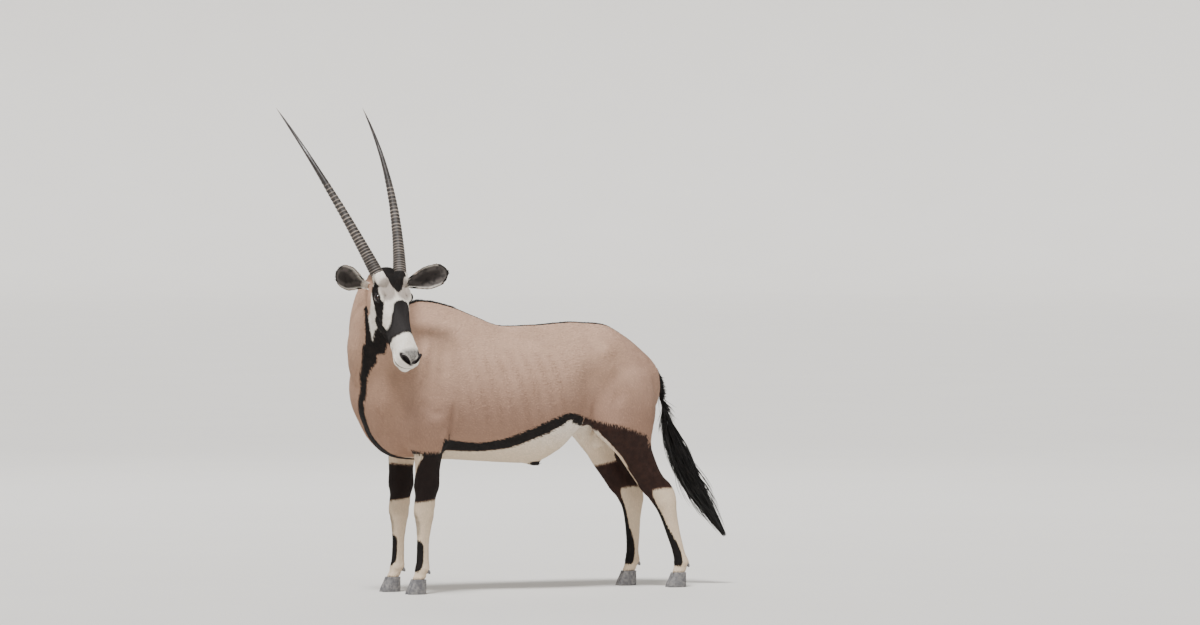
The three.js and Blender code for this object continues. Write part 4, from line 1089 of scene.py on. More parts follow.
def ear_marks(points, normals, black, brown, cream):
    """The ears: fawn outside with a pale band near the root, a dark hollow behind a pale fringe, and a black
    tip and rim; the hollow's darkness is partly the ear's own skin and partly painted shade. It gives how
    deep each point lies in the hollow, and which points are an ear's."""
    shape = through([r[0] for r in EAR_SHAPE], [r[1:] for r in EAR_SHAPE])
    hollow, mine = np.full(len(points), -20.0), np.zeros(len(points), bool)
    for side in (LEFT, RIGHT):
        root, along, wide, opening = ear_axes(side)
        d = points - root
        t, w, o = d @ along / EAR_LENGTH, d @ wide, d @ opening
        size = shape(np.clip(t, 0, 1))
        inner = (normals @ opening > 0.15) & (np.hypot(w / size[:, 0], o / size[:, 1]) < 1.02)
        here = (t > np.where(inner, 0.02, 0.16)) & (t < 1.05) & (np.abs(w) < size[:, 0] + 8)
        here &= (o < 16) & (o > -size[:, 1] - 8)
        edge = np.minimum(size[:, 0] - np.abs(w), (1.0 - t) * EAR_LENGTH)
        rim = both(4.5 - edge, (t - 0.42) * 90)
        tip = (t - 0.86) * EAR_LENGTH
        band = both(9 - np.abs(t - 0.3) * EAR_LENGTH * 0.6, np.where(o > -4, 6, -6))
        pale = either(both(48 - np.abs(t - 0.16) * EAR_LENGTH, 46 - np.abs(w)), both(edge - 4.5, 17 - edge))
        black[here] = either(rim, tip, 0.6 * band)[here]
        fringe = both(pale, either(16 - edge, (0.22 - t) * 150))
        root_band = both(14 - np.abs(t - 0.26) * 200, o + 12)
        cream[here] = np.where(inner, fringe, root_band)[here]
        brown[here] = -FAR
        depth = np.where(inner, both(edge - 8, (t - 0.2) * 120), -20)
        hollow[here] = depth[here]
        mine |= here
    return hollow, mine


def marks_of(points, normals, field):
    """How deep in millimetres each point lies inside the areas of the coat's colours, and how far it takes
    each of the coat's shades, from 0 to 1: among them painted shade low on the body and over the rump,
    painted warm bounce light and shade on the chest, belly and legs, and a painted sheen on the blaze."""
    x, y, z = points.T
    out = np.abs(y)
    in_trunk = np.isin(field.part, [TRUNK_ID, NECK_ID, *LEG_IDS])
    top, low = stripe_top(x), stripe_low(x)
    band = both(top - z, z - low, x + 440, 168 - x)
    band = either(band, both(top - z, z - top + 42, x - 140, 330 - x, out - 58))
    belly = both(low - z, x + 452, 300 - x)
    groin = both(top - 6 - z, x - 120, 126 - out, 520 - x)
    brisket = both(560 - z, -x - 430, x + 640, 92 - out)
    chest = to_line(np.stack([x, -y, z], -1), CHEST_LINE)
    elbow = both(25 - np.hypot(x + 418, 1.1 * (z - 596)), out - 60)
    # A dark line down the elbow's crease: painted shade.
    painted_elbow_crease_shade = 6.4 * on_line(x, z, [(-404, 665), (-404, 610)], 9, 0.2) - 5
    back_line = np.interp(x, [-520, -300, 0, 200, 300, 400, 500, 560], [14, 20, 22, 28, 34, 39, 40, 36])
    on_back = (z > 900) & (x > -640) & np.isin(field.part, BACK_IDS)
    on_crest = (field.part == NECK_ID) & (np.sin(field.angle) > 0)
    black = either(
        band, chest, elbow,
        np.where(out > 90, painted_elbow_crease_shade, -20),
        np.where(on_back, back_line - out, -FAR),
        np.where(on_crest, 14 - np.abs(np.cos(field.angle)) * 100, -FAR),
    )
    brown = np.full(len(x), -FAR)
    cream = np.where(in_trunk, either(belly, groin, brisket), -FAR)
    leg_marks(points, field, black, brown, cream)
    smudge, painted_blaze_sheen = head_marks(points, field, black, brown, cream)
    hollow, in_ear = ear_marks(points, normals, black, brown, cream)
    smudge[in_ear] = -FAR
    tail = (field.ratios[DOCK_ID] < 1.5) & (x > 560) & (out < 26)
    black[tail] = np.where(z < 918, FAR, back_line - out)[tail]
    cream[tail] = -FAR
    sheath = both(-x + 80, x - 8, 532 - z, 40 - out)
    black = np.where(in_trunk, either(black, sheath), black)
    # Painted warm light bounced from the ground onto the chest and neck front, and painted warm shade on the
    # belly and legs.
    chest_painted_bounce = 0.6 * smooth(-x, 560, 680) * (1 - smooth(z, 900, 1120))
    belly_leg_painted_shade = 0.8 * (1 - smooth(z, 540, 760))
    return {
        "black": np.clip(black, -FAR, FAR),
        "brown": np.clip(brown, -FAR, FAR),
        "cream": np.clip(cream, -FAR, FAR),
        "hollow": np.clip(hollow, -20, FAR),
        "smudge": np.clip(smudge, -FAR, FAR),
        "painted_warm_shade": np.maximum(chest_painted_bounce, belly_leg_painted_shade) * (field.part != HEAD_ID),
        "deep": np.where((x < 0) & (z < 620), 0.85, 0.25),
        # Darker towards the belly and over the rump: mostly painted shade of light from above and the front,
        # partly the coat's own darker lower fawn.
        "low": np.maximum(1 - smooth(z, 640, 1080), 0.7 * smooth(x, 240, 500)),
        "painted_blaze_sheen": painted_blaze_sheen,
    }


# Materials.
def colour(hexes):
    """An sRGB hex colour as linear light."""
    value = np.array([int(hexes[i : i + 2], 16) for i in (0, 2, 4)]) / 255
    linear = np.where(value <= 0.04045, value / 12.92, ((value + 0.055) / 1.055) ** 2.4)
    return (*linear, 1.0)


def new_material(name):
    """An empty node material with its shader, and the function that adds one node to it."""
    material = bpy.data.materials.new(name)
    material.use_nodes = True
    tree = material.node_tree
    shader = next(n for n in tree.nodes if n.type == "BSDF_PRINCIPLED")

    def add(kind, values=None, **settings):
        """A node of a kind, with settings, and inputs that are values or links to follow."""
        node = tree.nodes.new(kind)
        for key, value in settings.items():
            setattr(node, key, value)
        for key, value in (values or {}).items():
            join(value, node.inputs[key])
        return node

    def join(value, socket):
        if isinstance(value, bpy.types.NodeSocket):
            tree.links.new(value, socket)
        else:
            socket.default_value = value

    return material, shader, add, join


def ramp(add, value, low, high):
    """0 below low and 1 above high of a value, in an S curve."""
    node = add("ShaderNodeMapRange", {0: value, 1: low, 2: high}, interpolation_type="SMOOTHSTEP")
    return node.outputs[0]


def blend(add, factor, one, two, way="MIX"):
    """Two colours mixed by a factor."""
    node = add("ShaderNodeMix", {0: factor, 6: one, 7: two}, data_type="RGBA", blend_type=way)
    return node.outputs[2]


def maths(add, way, *values):
    """A sum, product or other step of arithmetic."""
    node = add("ShaderNodeMath", dict(enumerate(values)), operation=way)
    return node.outputs[0]


def times(add, one, two):
    """The product of two values."""
    return maths(add, "MULTIPLY", one, two)


def speckle(add, millimetres, detail=3.0, squash=None):
    """Noise from the object's own coordinates, its patches about a size in millimetres across."""
    place = add("ShaderNodeTexCoord").outputs["Object"]
    if squash:
        place = add("ShaderNodeMapping", {"Vector": place, "Scale": squash}).outputs[0]
    scale = 1 / (millimetres * MM)
    return add("ShaderNodeTexNoise", {"Vector": place, "Scale": scale, "Detail": detail}).outputs["Fac"]


def given(add, name):
    """A number carried by the mesh's points."""
    return add("ShaderNodeAttribute", attribute_name=name).outputs["Fac"]


def toned(add, hair, gain, least):
    """A colour of hair made lighter or darker by its tuft's own tone."""
    lighter = maths(add, "ADD", times(add, given(add, "tone"), gain), least)
    return add("ShaderNodeVectorMath", {0: hair, "Scale": lighter}, operation="SCALE").outputs[0]


def relief(add, join, shader, strength, millimetres, height):
    """Fine relief on a shader, its height in millimetres."""
    bump = add("ShaderNodeBump", {"Strength": strength, "Distance": millimetres * MM, "Height": height})
    join(bump.outputs[0], shader.inputs["Normal"])


def coat_material(name, edge):
    """Short antelope hair in the marks' colours: a sandy, rosy grey coat that varies in soft patches, painted
    darker low on the body and over the rump as shade and warmer on the chest, belly and legs as bounce light
    and shade, with cream, brown and black laid over it where their depths say, each edge broken by its hairs.
    The blaze's black is painted paler as a sheen, and the ears' hollows darker with depth as shade."""
    material, shader, add, join = new_material(name)
    fine, broad = speckle(add, 7, 2), speckle(add, 160, 3)
    flecks = speckle(add, 24, 4)
    jitter = times(add, maths(add, "SUBTRACT", fine, 0.5), edge)

    def inside(key, soft):
        depth = maths(add, "ADD", given(add, key), jitter)
        return ramp(add, depth, -soft, soft)

    coat = blend(add, ramp(add, broad, 0.35, 0.65), colour("ad8d78"), colour("b89782"))
    coat = blend(add, times(add, ramp(add, flecks, 0.45, 0.75), 0.16), coat, colour("8c7567"))
    # Painted shade: darker towards the belly and over the rump, partly the coat's own darker lower fawn.
    coat = blend(add, times(add, given(add, "low"), 0.7), coat, colour("88695a"))
    # Warmer on the chest, belly and legs: painted warm bounce light and shade.
    coat = blend(add, times(add, given(add, "painted_warm_shade"), 0.5), coat, colour("9c7a62"))
    pale = blend(add, ramp(add, flecks, 0.4, 0.8), colour("ece6dc"), colour("ddd4c6"))
    # The cream darker and warmer on the belly and legs: painted shade with warm bounce light.
    pale = blend(add, given(add, "painted_warm_shade"), pale, colour("cdb597"))
    umber = blend(add, ramp(add, flecks, 0.35, 0.7), colour("2b1812"), colour("37211a"))
    umber = blend(add, given(add, "deep"), umber, colour("150e0d"))
    soot = blend(add, ramp(add, flecks, 0.35, 0.75), colour("0d0908"), colour("18110f"))
    # The blaze's black made paler grey: painted sheen.
    soot = blend(add, given(add, "painted_blaze_sheen"), soot, colour("2a2727"))
    ear_inside_and_shade = blend(add, ramp(add, flecks, 0.28, 0.55), colour("2f2c2b"), colour("57514e"))
    coat = blend(add, inside("cream", 4.0), coat, pale)
    coat = blend(add, times(add, inside("smudge", 8.0), 0.8), coat, colour("93867d"))
    coat = blend(add, inside("brown", 6.0), coat, umber)
    coat = blend(add, inside("black", 3.0), coat, soot)
    # The ear's hollow darkened away from its rim, partly its own dark skin and partly painted shade, and
    # darker still deep in the cup: painted shade.
    coat = blend(add, inside("hollow", 6.0), coat, ear_inside_and_shade)
    painted_shade_deep_in_ear = ramp(add, given(add, "hollow"), 14.0, 29.0)
    coat = blend(add, times(add, painted_shade_deep_in_ear, 0.75), coat, colour("1c1716"))
    return material, shader, add, join, toned(add, coat, 0.3, 0.85)


# The skin under the coat: the same hair colours, with hair bump, and wet dark hide in the nostrils and lids.
skin_hide, shader, add, join, coat = coat_material("hide_under_short_hair", 4.0)
hide = blend(add, speckle(add, 9), colour("171314"), colour("262021"))
nose = blend(add, ramp(add, speckle(add, 7), 0.35, 0.65), colour("65625f"), colour("8b8782"))
coat = blend(add, given(add, "nose"), coat, nose)
coat = blend(add, given(add, "wet"), coat, hide)
join(coat, shader.inputs["Base Color"])
rough = maths(add, "SUBTRACT", 0.72, times(add, given(add, "wet"), 0.35))
join(rough, shader.inputs["Roughness"])
shader.inputs["Specular IOR Level"].default_value = 0.25
grain = maths(add, "ADD", speckle(add, 3.2, 2, (1, 1, 2.5)), times(add, speckle(add, 11, 2), 0.6))
relief(add, join, shader, 0.35, 1.0, grain)

# Short, close hair in tufts: a soft satin, as sleek summer coat is.
short_hair, shader, add, join, coat = coat_material("short_hair", 2.0)
join(coat, shader.inputs["Base Color"])
shader.inputs["Roughness"].default_value = 0.68
shader.inputs["Specular IOR Level"].default_value = 0.2
relief(add, join, shader, 0.35, 0.6, speckle(add, 2.2, 2))

# Long black hair of the mane and the tail: glossier, with brown lights in it.
long_hair, shader, add, join = new_material("long_black_hair")
lights = ramp(add, speckle(add, 30, 3), 0.45, 0.75)
dark = blend(add, lights, colour("070505"), colour("130e0c"))
join(toned(add, dark, 0.9, 0.6), shader.inputs["Base Color"])
shader.inputs["Roughness"].default_value = 0.42
shader.inputs["Specular IOR Level"].default_value = 0.4
relief(add, join, shader, 0.4, 0.8, speckle(add, 1.5, 2, (4, 4, 1)))


# The skin itself.
normals = normals_of(points, tris)
field = Field(points)
marks = marks_of(points, normals, field)
_, wet = opened(points)
for side in (LEFT, RIGHT):
    long, high, out = lid_plane(side, points)
    rim = 1 - smooth(np.hypot(long / (LID_LONG + 1.5), high / (LID_HIGH + 1.5)), 0.95, 1.25)
    wet = np.maximum(wet, rim * (out > 0) * (out < 34))
lips = 1 - smooth(mouth_gap(points, (0.0, 3.0, 6.0)), 3.4, 6.4)
marks["wet"] = np.maximum(np.clip(wet, 0, 1), 0.9 * lips)
a, s, u = from_head(points)
pad = smooth(0.6 * (394 - a) + 5 - np.abs(s), -9, 9)
marks["nose"] = pad * smooth(u, -14, -2) * smooth(a, 318, 348)
marks["tone"] = np.full(len(points), 0.5)
skin = add_mesh("skin", (points, NO_QUADS, tris), marks)
FLESH = ["torso", "neck", "head", "tail_dock", "ear_left", "ear_right"]
FLESH += ["leg_fore_left", "leg_fore_right", "leg_hind_left", "leg_hind_right"]
finished(skin, skin_hide, "coat", *FLESH)


# Horns.
HORN_SIDES = 64


def horn_shell(side):
    """A horn as rings along a bent axis: a taper, with ring ridges that rise slowly and drop sharply, stand
    highest in front, and fade out above the middle."""
    aim, bend = unit(headward(*mirrored(side, HORN_AIM))), headward(*mirrored(side, HORN_BEND))
    root = in_head(*mirrored(side, HORN_ROOT))
    t = np.concatenate([np.linspace(-0.005, 0.6, 520), np.linspace(0.6, 1, 90)[1:]])
    way = unit(aim + 2 * t[:, None] * bend)
    across = unit(head_axes[1] - way * (way @ head_axes[1])[:, None])
    back = np.cross(way, across)
    centre = root + t[:, None] * HORN_LENGTH * aim + (t**2)[:, None] * HORN_LENGTH * bend
    turn = np.linspace(0, 2 * np.pi, HORN_SIDES, endpoint=False)
    radius = line_through(HORN_GIRTH)(t)[:, None]
    uneven = np.random.default_rng(31 + int(side))
    run = np.linspace(-0.005, 0.66, 700)
    spacing = np.interp(run, [0, 0.28, 0.58], [9.5, 17.0, 23.0]) / HORN_LENGTH
    passed = np.cumsum(1 / spacing) * (run[1] - run[0])
    count = np.interp(t, run, passed)[:, None] + 0.07 * np.sin(turn + 1.3) + 0.05 * np.sin(2 * turn)
    rings = int(passed[-1]) + 2
    number = np.clip(np.floor(count).astype(int) + 1, 0, rings + 1)
    strength = uneven.uniform(0.75, 1.2, rings + 2)[number]
    saw = np.mod(count, 1)
    ridge = np.where(saw < 0.66, smooth(saw, 0.2, 0.66), 1 - smooth(saw, 0.66, 0.92))
    front = 0.75 + 0.25 * np.cos(turn - np.pi / 2)[None, :]
    fade = (1 - smooth(t, 0.46, 0.62))[:, None] * np.interp(t, [0, 0.2], [0.8, 1.0])[:, None]
    fine = 0.25 * np.sin(count * 2 * np.pi * 4) * (1 - smooth(t, 0.5, 0.7))[:, None]
    size = radius - 0.8 + ridge * 2.3 * fade * front * strength + 0.4 * fine * fade
    size += 0.25 * np.sin(7 * turn + 3 * np.sin(9 * t[:, None]))
    size = np.maximum(size, 0.6)
    points = centre[:, None] + size[..., None] * (
        np.cos(turn)[None, :, None] * across[:, None] + np.sin(turn)[None, :, None] * back[:, None]
    )
    share = np.repeat(t, HORN_SIDES)
    ridges = (ridge * fade * strength).reshape(-1)
    return closed_grid(points), np.concatenate([share, [0, 1]]), np.concatenate([ridges, [0, 0]])


# Ringed horn: dark slate brown keratin, the ring ridges painted pale grey as highlights and the dark keratin
# left between them, polished black-brown above, with a paler tip.
keratin, shader, add, join = new_material("ringed_horn_keratin")
along, ridge = given(add, "along"), given(add, "ridge")
streak = speckle(add, 40, 4, (2.2, 2.2, 0.5))
base = blend(add, ramp(add, streak, 0.4, 0.65), colour("241f1d"), colour("3a332f"))
# Pale grey on the ring ridges: painted highlight.
base = blend(add, times(add, ramp(add, ridge, 0.45, 1.0), 0.9), base, colour("93877c"))
upper = blend(add, ramp(add, streak, 0.4, 0.7), colour("2a2523"), colour("3d3633"))
base = blend(add, ramp(add, along, 0.48, 0.66), base, upper)
base = blend(add, ramp(add, along, 0.93, 1.0), base, colour("8d8175"))
join(base, shader.inputs["Base Color"])
polish = times(add, ramp(add, along, 0.4, 0.75), 0.26)
join(maths(add, "SUBTRACT", 0.58, polish), shader.inputs["Roughness"])
grain = maths(add, "ADD", speckle(add, 5, 3, (3, 3, 0.4)), times(add, speckle(add, 1.5, 2), 0.3))
relief(add, join, shader, 0.35, 1.2, grain)
for side, name in SIDES:
    shell, share, ridges = horn_shell(side)
    horn = add_mesh("ringed_horn_" + name, outward(shell), {"along": share, "ridge": ridges})
    finished(horn, keratin, "horn", "horn_" + name)


# Eyes.
def eye_shell(side):
    """An eyeball with the cornea's low dome, and how far each point lies from the middle of its gaze along
    and across the level pupil."""
    gaze = unit(headward(0.3, side * 0.93, 0.12))
    level = unit(headward(1, 0, -0.25) - gaze * (headward(1, 0, -0.25) @ gaze))
    upright = np.cross(gaze, level)
    centre = eye_centre(side)
    points, quads, caps = ellipsoid(centre, (level, upright, gaze), (EYEBALL_RADIUS,) * 3, 56, 72)
    d = (points - centre) / EYEBALL_RADIUS
    off = np.arccos(np.clip(d @ gaze, -1, 1))
    dome = CORNEA_RISE * (1 - smooth(off, 0.25, 0.85))
    points = points + dome[:, None] * (points - centre) / EYEBALL_RADIUS
    return (points, quads, caps), d @ level, d @ upright, off


# Wet eye: a dark umber iris, finely mottled, round a level slot pupil, a black rim, and little white shown.
eye_wet, shader, add, join = new_material("wet_dark_eye")
long, high, off = given(add, "long"), given(add, "high"), given(add, "off")
ends, sides = (
    maths(add, "POWER", maths(add, "DIVIDE", maths(add, "ABSOLUTE", way), half), power)
    for way, half, power in ((long, 0.36, 4.0), (high, 0.15, 2.0))
)
slot = maths(add, "ADD", ends, sides)
iris = blend(add, ramp(add, speckle(add, 2.5, 3), 0.35, 0.7), colour("24120b"), colour("4b2a17"))
iris = blend(add, ramp(add, slot, 1.25, 0.85), iris, colour("060505"))
iris = blend(add, ramp(add, off, 0.66, 0.76), iris, colour("0d0807"))
iris = blend(add, ramp(add, off, 0.86, 0.98), iris, colour("5a463c"))
join(iris, shader.inputs["Base Color"])
shader.inputs["Roughness"].default_value = 0.06
shader.inputs["Coat Weight"].default_value = 0.6
relief(add, join, shader, 0.05, 0.2, speckle(add, 6, 1))
for side, name in SIDES:
    shell, long, high, off = eye_shell(side)
    eye = add_mesh("eyeball_" + name, outward(shell), {"long": long, "high": high, "off": off})
    finished(eye, eye_wet, "eye", "eye_" + name)


# Hooves.
def claw_shell(table, side, way):
    """One claw of a cloven hoof: sections from the coronet down to a flat sole, cut flat beside the cleft,
    with growth rings that follow the coronet and a blunt pointed toe."""
    x, middle = leg_middle(table[-1], side)
    wall = np.linspace(61.2, 3, 46)
    z = np.concatenate([wall, [1.6, 0.6, 0.15]])
    rows = np.array(CLAW, float)
    at = through(-rows[:, 0], rows)(-z)
    turn = np.linspace(0, 2 * np.pi, 72, endpoint=False)
    c, s = np.cos(turn)[None, :], np.sin(turn)[None, :]
    tuck = np.concatenate([0 * wall, [0.5, 1.2, 2.2]])[:, None]
    rings = 0.55 * np.sin(2 * np.pi * (z[:, None] + 9 * s) / 6.5) * smooth(z, 4, 12)[:, None]
    rings = rings * (1 - smooth(z, 48, 58))[:, None] - 0.4
    band = 0.9 * smooth(z, 50, 57)[:, None]
    half = at[:, 2:3] + rings + band - tuck
    reach = np.where(s >= 0, at[:, 3:4], at[:, 4:5]) + rings + band - tuck
    toe = np.where(s >= 0, 1.25, 0.95)
    px = x + at[:, 1:2] - s * reach
    py = middle - side * way * CLAW_OUT + half * signed_power(c, toe)
    edge = middle - side * way * (CLEFT / 2 + 0.4)
    py = np.minimum(py, edge) if side * way > 0 else np.maximum(py, edge)
    return outward(closed_grid(np.stack([px, py, np.broadcast_to(z[:, None], px.shape)], -1)))


# Hoof horn: slate grey brown, streaked down from the coronet, with patches of pale dust.
hoof_horn, shader, add, join = new_material("hoof_keratin")
streaks = speckle(add, 9, 3, (1, 1, 0.2))
base = blend(add, ramp(add, streaks, 0.35, 0.65), colour("58575a"), colour("6c6b6d"))
dust = times(add, ramp(add, speckle(add, 12, 4), 0.38, 0.68), 0.4)
base = blend(add, dust, base, colour("a19c97"))
join(base, shader.inputs["Base Color"])
shader.inputs["Roughness"].default_value = 0.55
relief(add, join, shader, 0.4, 1.0, speckle(add, 3, 3, (1, 1, 0.3)))
for leg, table, side in LEGS:
    for way, place in ((1, "outer"), (-1, "inner")):
        claw = add_mesh(f"hoof_{leg}_{place}", claw_shell(table, side, way))
        finished(claw, hoof_horn, "hoof", f"claw_{leg}_{place}")


def dewclaws(table, side):
    """Two small blunt cones behind a fetlock."""
    x, middle = leg_middle(table[-3], side)
    made = []
    for way in (-1, 1):
        down = unit(np.array([0.45, 0.12 * way, -0.88]))
        across = unit(np.cross(down, (0, 1.0, 0)))
        axes = (across, np.cross(down, across), down)
        made.append(ellipsoid((x + 26, middle + 13 * way, 92), axes, (6.5, 6.5, 11), 14, 20))
    return made


small = joined([shell for _, table, side in LEGS for shell in dewclaws(table, side)])
spurs = add_mesh("dewclaws", small)
finished(spurs, hoof_horn, "hoof")


# Hair.
def strands(paths, across, out, width, thick, profile, sides=3):
    """Tapered tufts, each a tube of a few sides along its own path that ends in a point. Gives the shell,
    the tuft of each point, and each point's place on its tuft."""
    count, stops = paths.shape[:2]
    turn = (np.pi / 2 + 2 * np.pi * np.arange(sides) / sides)[None, None, :, None]
    size = np.asarray(profile)[None, : stops - 1, None, None]
    wide = (width[:, None, None, None] * size) * np.cos(turn) * across[:, : stops - 1, None]
    tall = (thick[:, None, None, None] * size) * np.sin(turn) * out[:, : stops - 1, None]
    rings = (paths[:, : stops - 1, None] + wide + tall).reshape(count, -1, 3)
    points = np.concatenate([rings, paths[:, -1:]], axis=1)
    each = points.shape[1]
    k, s = np.meshgrid(np.arange(stops - 2), np.arange(sides), indexing="ij")
    a, b = k * sides + s, k * sides + (s + 1) % sides
    quads = np.stack([a, b, b + sides, a + sides], -1).reshape(-1, 4)
    last = (stops - 2) * sides
    ring = np.arange(sides)
    tips = np.stack([last + ring, last + (ring + 1) % sides, np.full(sides, each - 1)], -1)
    caps = np.stack([np.zeros(sides - 2, int), ring[2:], ring[1:-1]], -1)
    base = (np.arange(count) * each)[:, None, None]
    all_quads = (quads[None] + base).reshape(-1, 4)
    all_tris = (np.concatenate([tips, caps])[None] + base).reshape(-1, 3)
    owner = np.repeat(np.arange(count), each)
    u = np.concatenate([np.repeat(np.linspace(0, 1, stops)[:-1], sides), [1.0]])
    v = np.concatenate([np.tile(ring / sides, stops - 1), [0.5]])
    return (points.reshape(-1, 3), all_quads, all_tris), owner, np.tile(np.stack([u, v], -1), (count, 1))


# Side of a tuft's patch in the coat's map.
TUFT_PATCH = 0.003


def add_hair(name, made, uv, attributes, material, slot, *replaced):
    """A piece of hair from its strands, with each tuft a small patch of the coat's map at its root."""
    shell, owner, place = made
    corner_uv = uv[owner] + (place - 0.5) * TUFT_PATCH
    carried = {key: values[owner] for key, values in attributes.items()}
    ob = add_mesh(name, shell, carried, rounded=material is long_hair)
    layer = ob.data.uv_layers.new(name="OFBake")
    corners = np.empty(len(ob.data.loops), np.int32)
    ob.data.loops.foreach_get("vertex_index", corners)
    layer.data.foreach_set("uv", np.ascontiguousarray(corner_uv[corners], np.float32).reshape(-1))
    finished(ob, material, slot, *replaced)


skin_points, skin_tris, skin_normals, skin_field = points, tris, normals, field
tri_points = skin_points[skin_tris]
tri_cross = np.cross(tri_points[:, 1] - tri_points[:, 0], tri_points[:, 2] - tri_points[:, 0])
tri_area = np.linalg.norm(tri_cross, axis=1) / 2
tri_middle = tri_points.mean(axis=1)
tri_normal = unit(skin_normals[skin_tris].sum(axis=1))
tri_lie = unit(skin_field.lie[skin_tris].sum(axis=1))
tri_first = skin_tris[:, 0]
tri_part, tri_angle = skin_field.part[tri_first], skin_field.angle[tri_first]
bare = (marks["wet"][skin_tris].max(axis=1) > 0.25) | (marks["nose"][skin_tris].max(axis=1) > 0.4)
hollow = marks["hollow"][skin_tris].max(axis=1) > 0
ear_side = np.zeros(len(skin_tris), bool)
for side in (LEFT, RIGHT):
    ear_root, ear_along, _, _ = ear_axes(side)
    d = tri_middle - ear_root
    t = d @ ear_along
    in_ear = (t > 30) & (t < 250) & (np.linalg.norm(d - t[:, None] * ear_along, axis=1) < 62)
    ear_side |= in_ear
    tri_lie[in_ear] = ear_along


def roots(chosen, each):
    """Places drawn over chosen triangles of the skin, one for each so many square millimetres: their
    triangle and point."""
    index = np.nonzero(chosen)[0]
    weight = tri_area[index]
    count = int(weight.sum() / each)
    picked = index[np.searchsorted(np.cumsum(weight), draw.uniform(0, weight.sum(), count))]
    one, two = draw.uniform(0, 1, (2, count))
    over = one + two > 1
    one, two = np.where(over, 1 - one, one), np.where(over, 1 - two, two)
    first, second, third = tri_points[picked].transpose(1, 0, 2)
    return picked, first + one[:, None] * (second - first) + two[:, None] * (third - first)


# Most tufts of a piece, and how far they stray from the lie, in radians.
TUFT_LIMIT, TUFT_STRAY = 19500, 0.16


def tufts(chosen, each, long, width, thick, lift):
    """Short tufts over chosen triangles, lying along the coat's lie, with a low arch, and the uv and marks
    of their roots."""
    picked, root = (drawn[:TUFT_LIMIT] for drawn in roots(chosen, each))
    count = len(root)
    normal, lie = tri_normal[picked], tri_lie[picked]
    way = unit(lie - normal * (lie * normal).sum(1, keepdims=True))
    side = np.cross(normal, way)
    swing = draw.normal(0, TUFT_STRAY, count)[:, None]
    way = way * np.cos(swing) + side * np.sin(swing)
    side = np.cross(normal, way)
    length = (long * draw.uniform(0.7, 1.25, count))[:, None]
    rise = (lift * draw.uniform(0.5, 1.4, count))[:, None]
    path = np.stack([root - 0.8 * normal, root + 0.45 * length * way + rise * normal,
                     root + length * way + 0.75 * rise * normal], axis=1)
    made = strands(path, np.repeat(side[:, None], 3, 1), np.repeat(normal[:, None], 3, 1),
                   width / 2 * draw.uniform(0.75, 1.25, count), np.full(count, thick), (0.8, 1.0))
    place = Field(root)
    found = marks_of(root, normal, place)
    # Tufts drawn a little lighter than the skin on average: painted light that offsets the shade they cast on
    # themselves.
    found["tone"] = draw.normal(0.8, 0.2, count)
    found["hollow"] = np.where(hollow[picked], found["hollow"], -20)
    return made, place.uv(), found


region_x, region_y, region_z = tri_middle.T
region_out = np.abs(region_y)
is_head = (tri_part == HEAD_ID) | ear_side
is_leg = (region_z < 560) & np.isin(tri_part, LEG_IDS) & ~is_head
is_neck = (tri_part == NECK_ID) & ~is_head
rest = ~is_head & ~is_leg & ~is_neck & (tri_part != DOCK_ID)
COATS = [
    # name, where, area of each in square millimetres, length, width, thickness, rise
    ("coat_neck", is_neck, 27, 15, 3.6, 0.28, 0.55),
    ("coat_shoulder", rest & (region_x < -380), 27, 15, 3.8, 0.28, 0.55),
    ("coat_barrel", rest & (region_x >= -380) & (region_x < 180), 38, 17, 4.4, 0.32, 0.55),
    ("coat_rump", rest & (region_x >= 180), 27, 15, 3.8, 0.28, 0.55),
    ("coat_head", is_head & ~bare & ~hollow, 10.5, 7.5, 2.2, 0.28, 0.6),
    ("coat_legs_fore", is_leg & (region_x < 0), 14, 9, 2.6, 0.28, 0.6),
    ("coat_legs_hind", is_leg & (region_x >= 0), 15, 9, 2.6, 0.28, 0.6),
]
for name, where, each, long, width, thick, lift in COATS:
    made, uv, found = tufts(where, each, long, width, thick, lift)
    add_hair(name, made, uv, found, short_hair, "coat")


def standing(chosen, count, long, width, thick, lean, material, name, slot, stops=6, curl=0.5):
    """Longer locks that rise from the skin, lean along its lie and curve down towards it."""
    picked, root = roots(chosen, tri_area[chosen].sum() / (count + 0.5))
    count = len(root)
    normal, lie = tri_normal[picked], tri_lie[picked]
    way = unit(lie - normal * (lie * normal).sum(1, keepdims=True))
    side = np.cross(normal, way)
    length = (long * draw.uniform(0.7, 1.2, count))[:, None]
    t = np.linspace(0, 1, stops)[None, :]
    tilt = (lean + draw.normal(0, 0.1, count))[:, None] * (1 - curl * t)
    step = length / (stops - 1)
    ahead = np.cumsum(np.cos(tilt) * step, 1) - np.cos(tilt[:, :1]) * step
    up = np.cumsum(np.sin(tilt) * step, 1) - np.sin(tilt[:, :1]) * step - 2.0
    drift = draw.normal(0, 0.1, count)[:, None] * length * t**2
    path = (root[:, None] + ahead[..., None] * way[:, None] + up[..., None] * normal[:, None]
            + drift[..., None] * side[:, None])
    profile = np.interp(np.linspace(0, 1, stops), [0, 0.3, 0.75, 1], [0.8, 1, 0.6, 0.05])
    made = strands(path, np.repeat(side[:, None], stops, 1), np.repeat(normal[:, None], stops, 1),
                   width / 2 * draw.uniform(0.75, 1.25, count), np.full(count, thick), profile)
    place = Field(root)
    found = marks_of(root, normal, place)
    found["tone"] = draw.normal(0.5, 0.2, count)
    add_hair(name, made, place.uv(), found, material, slot)


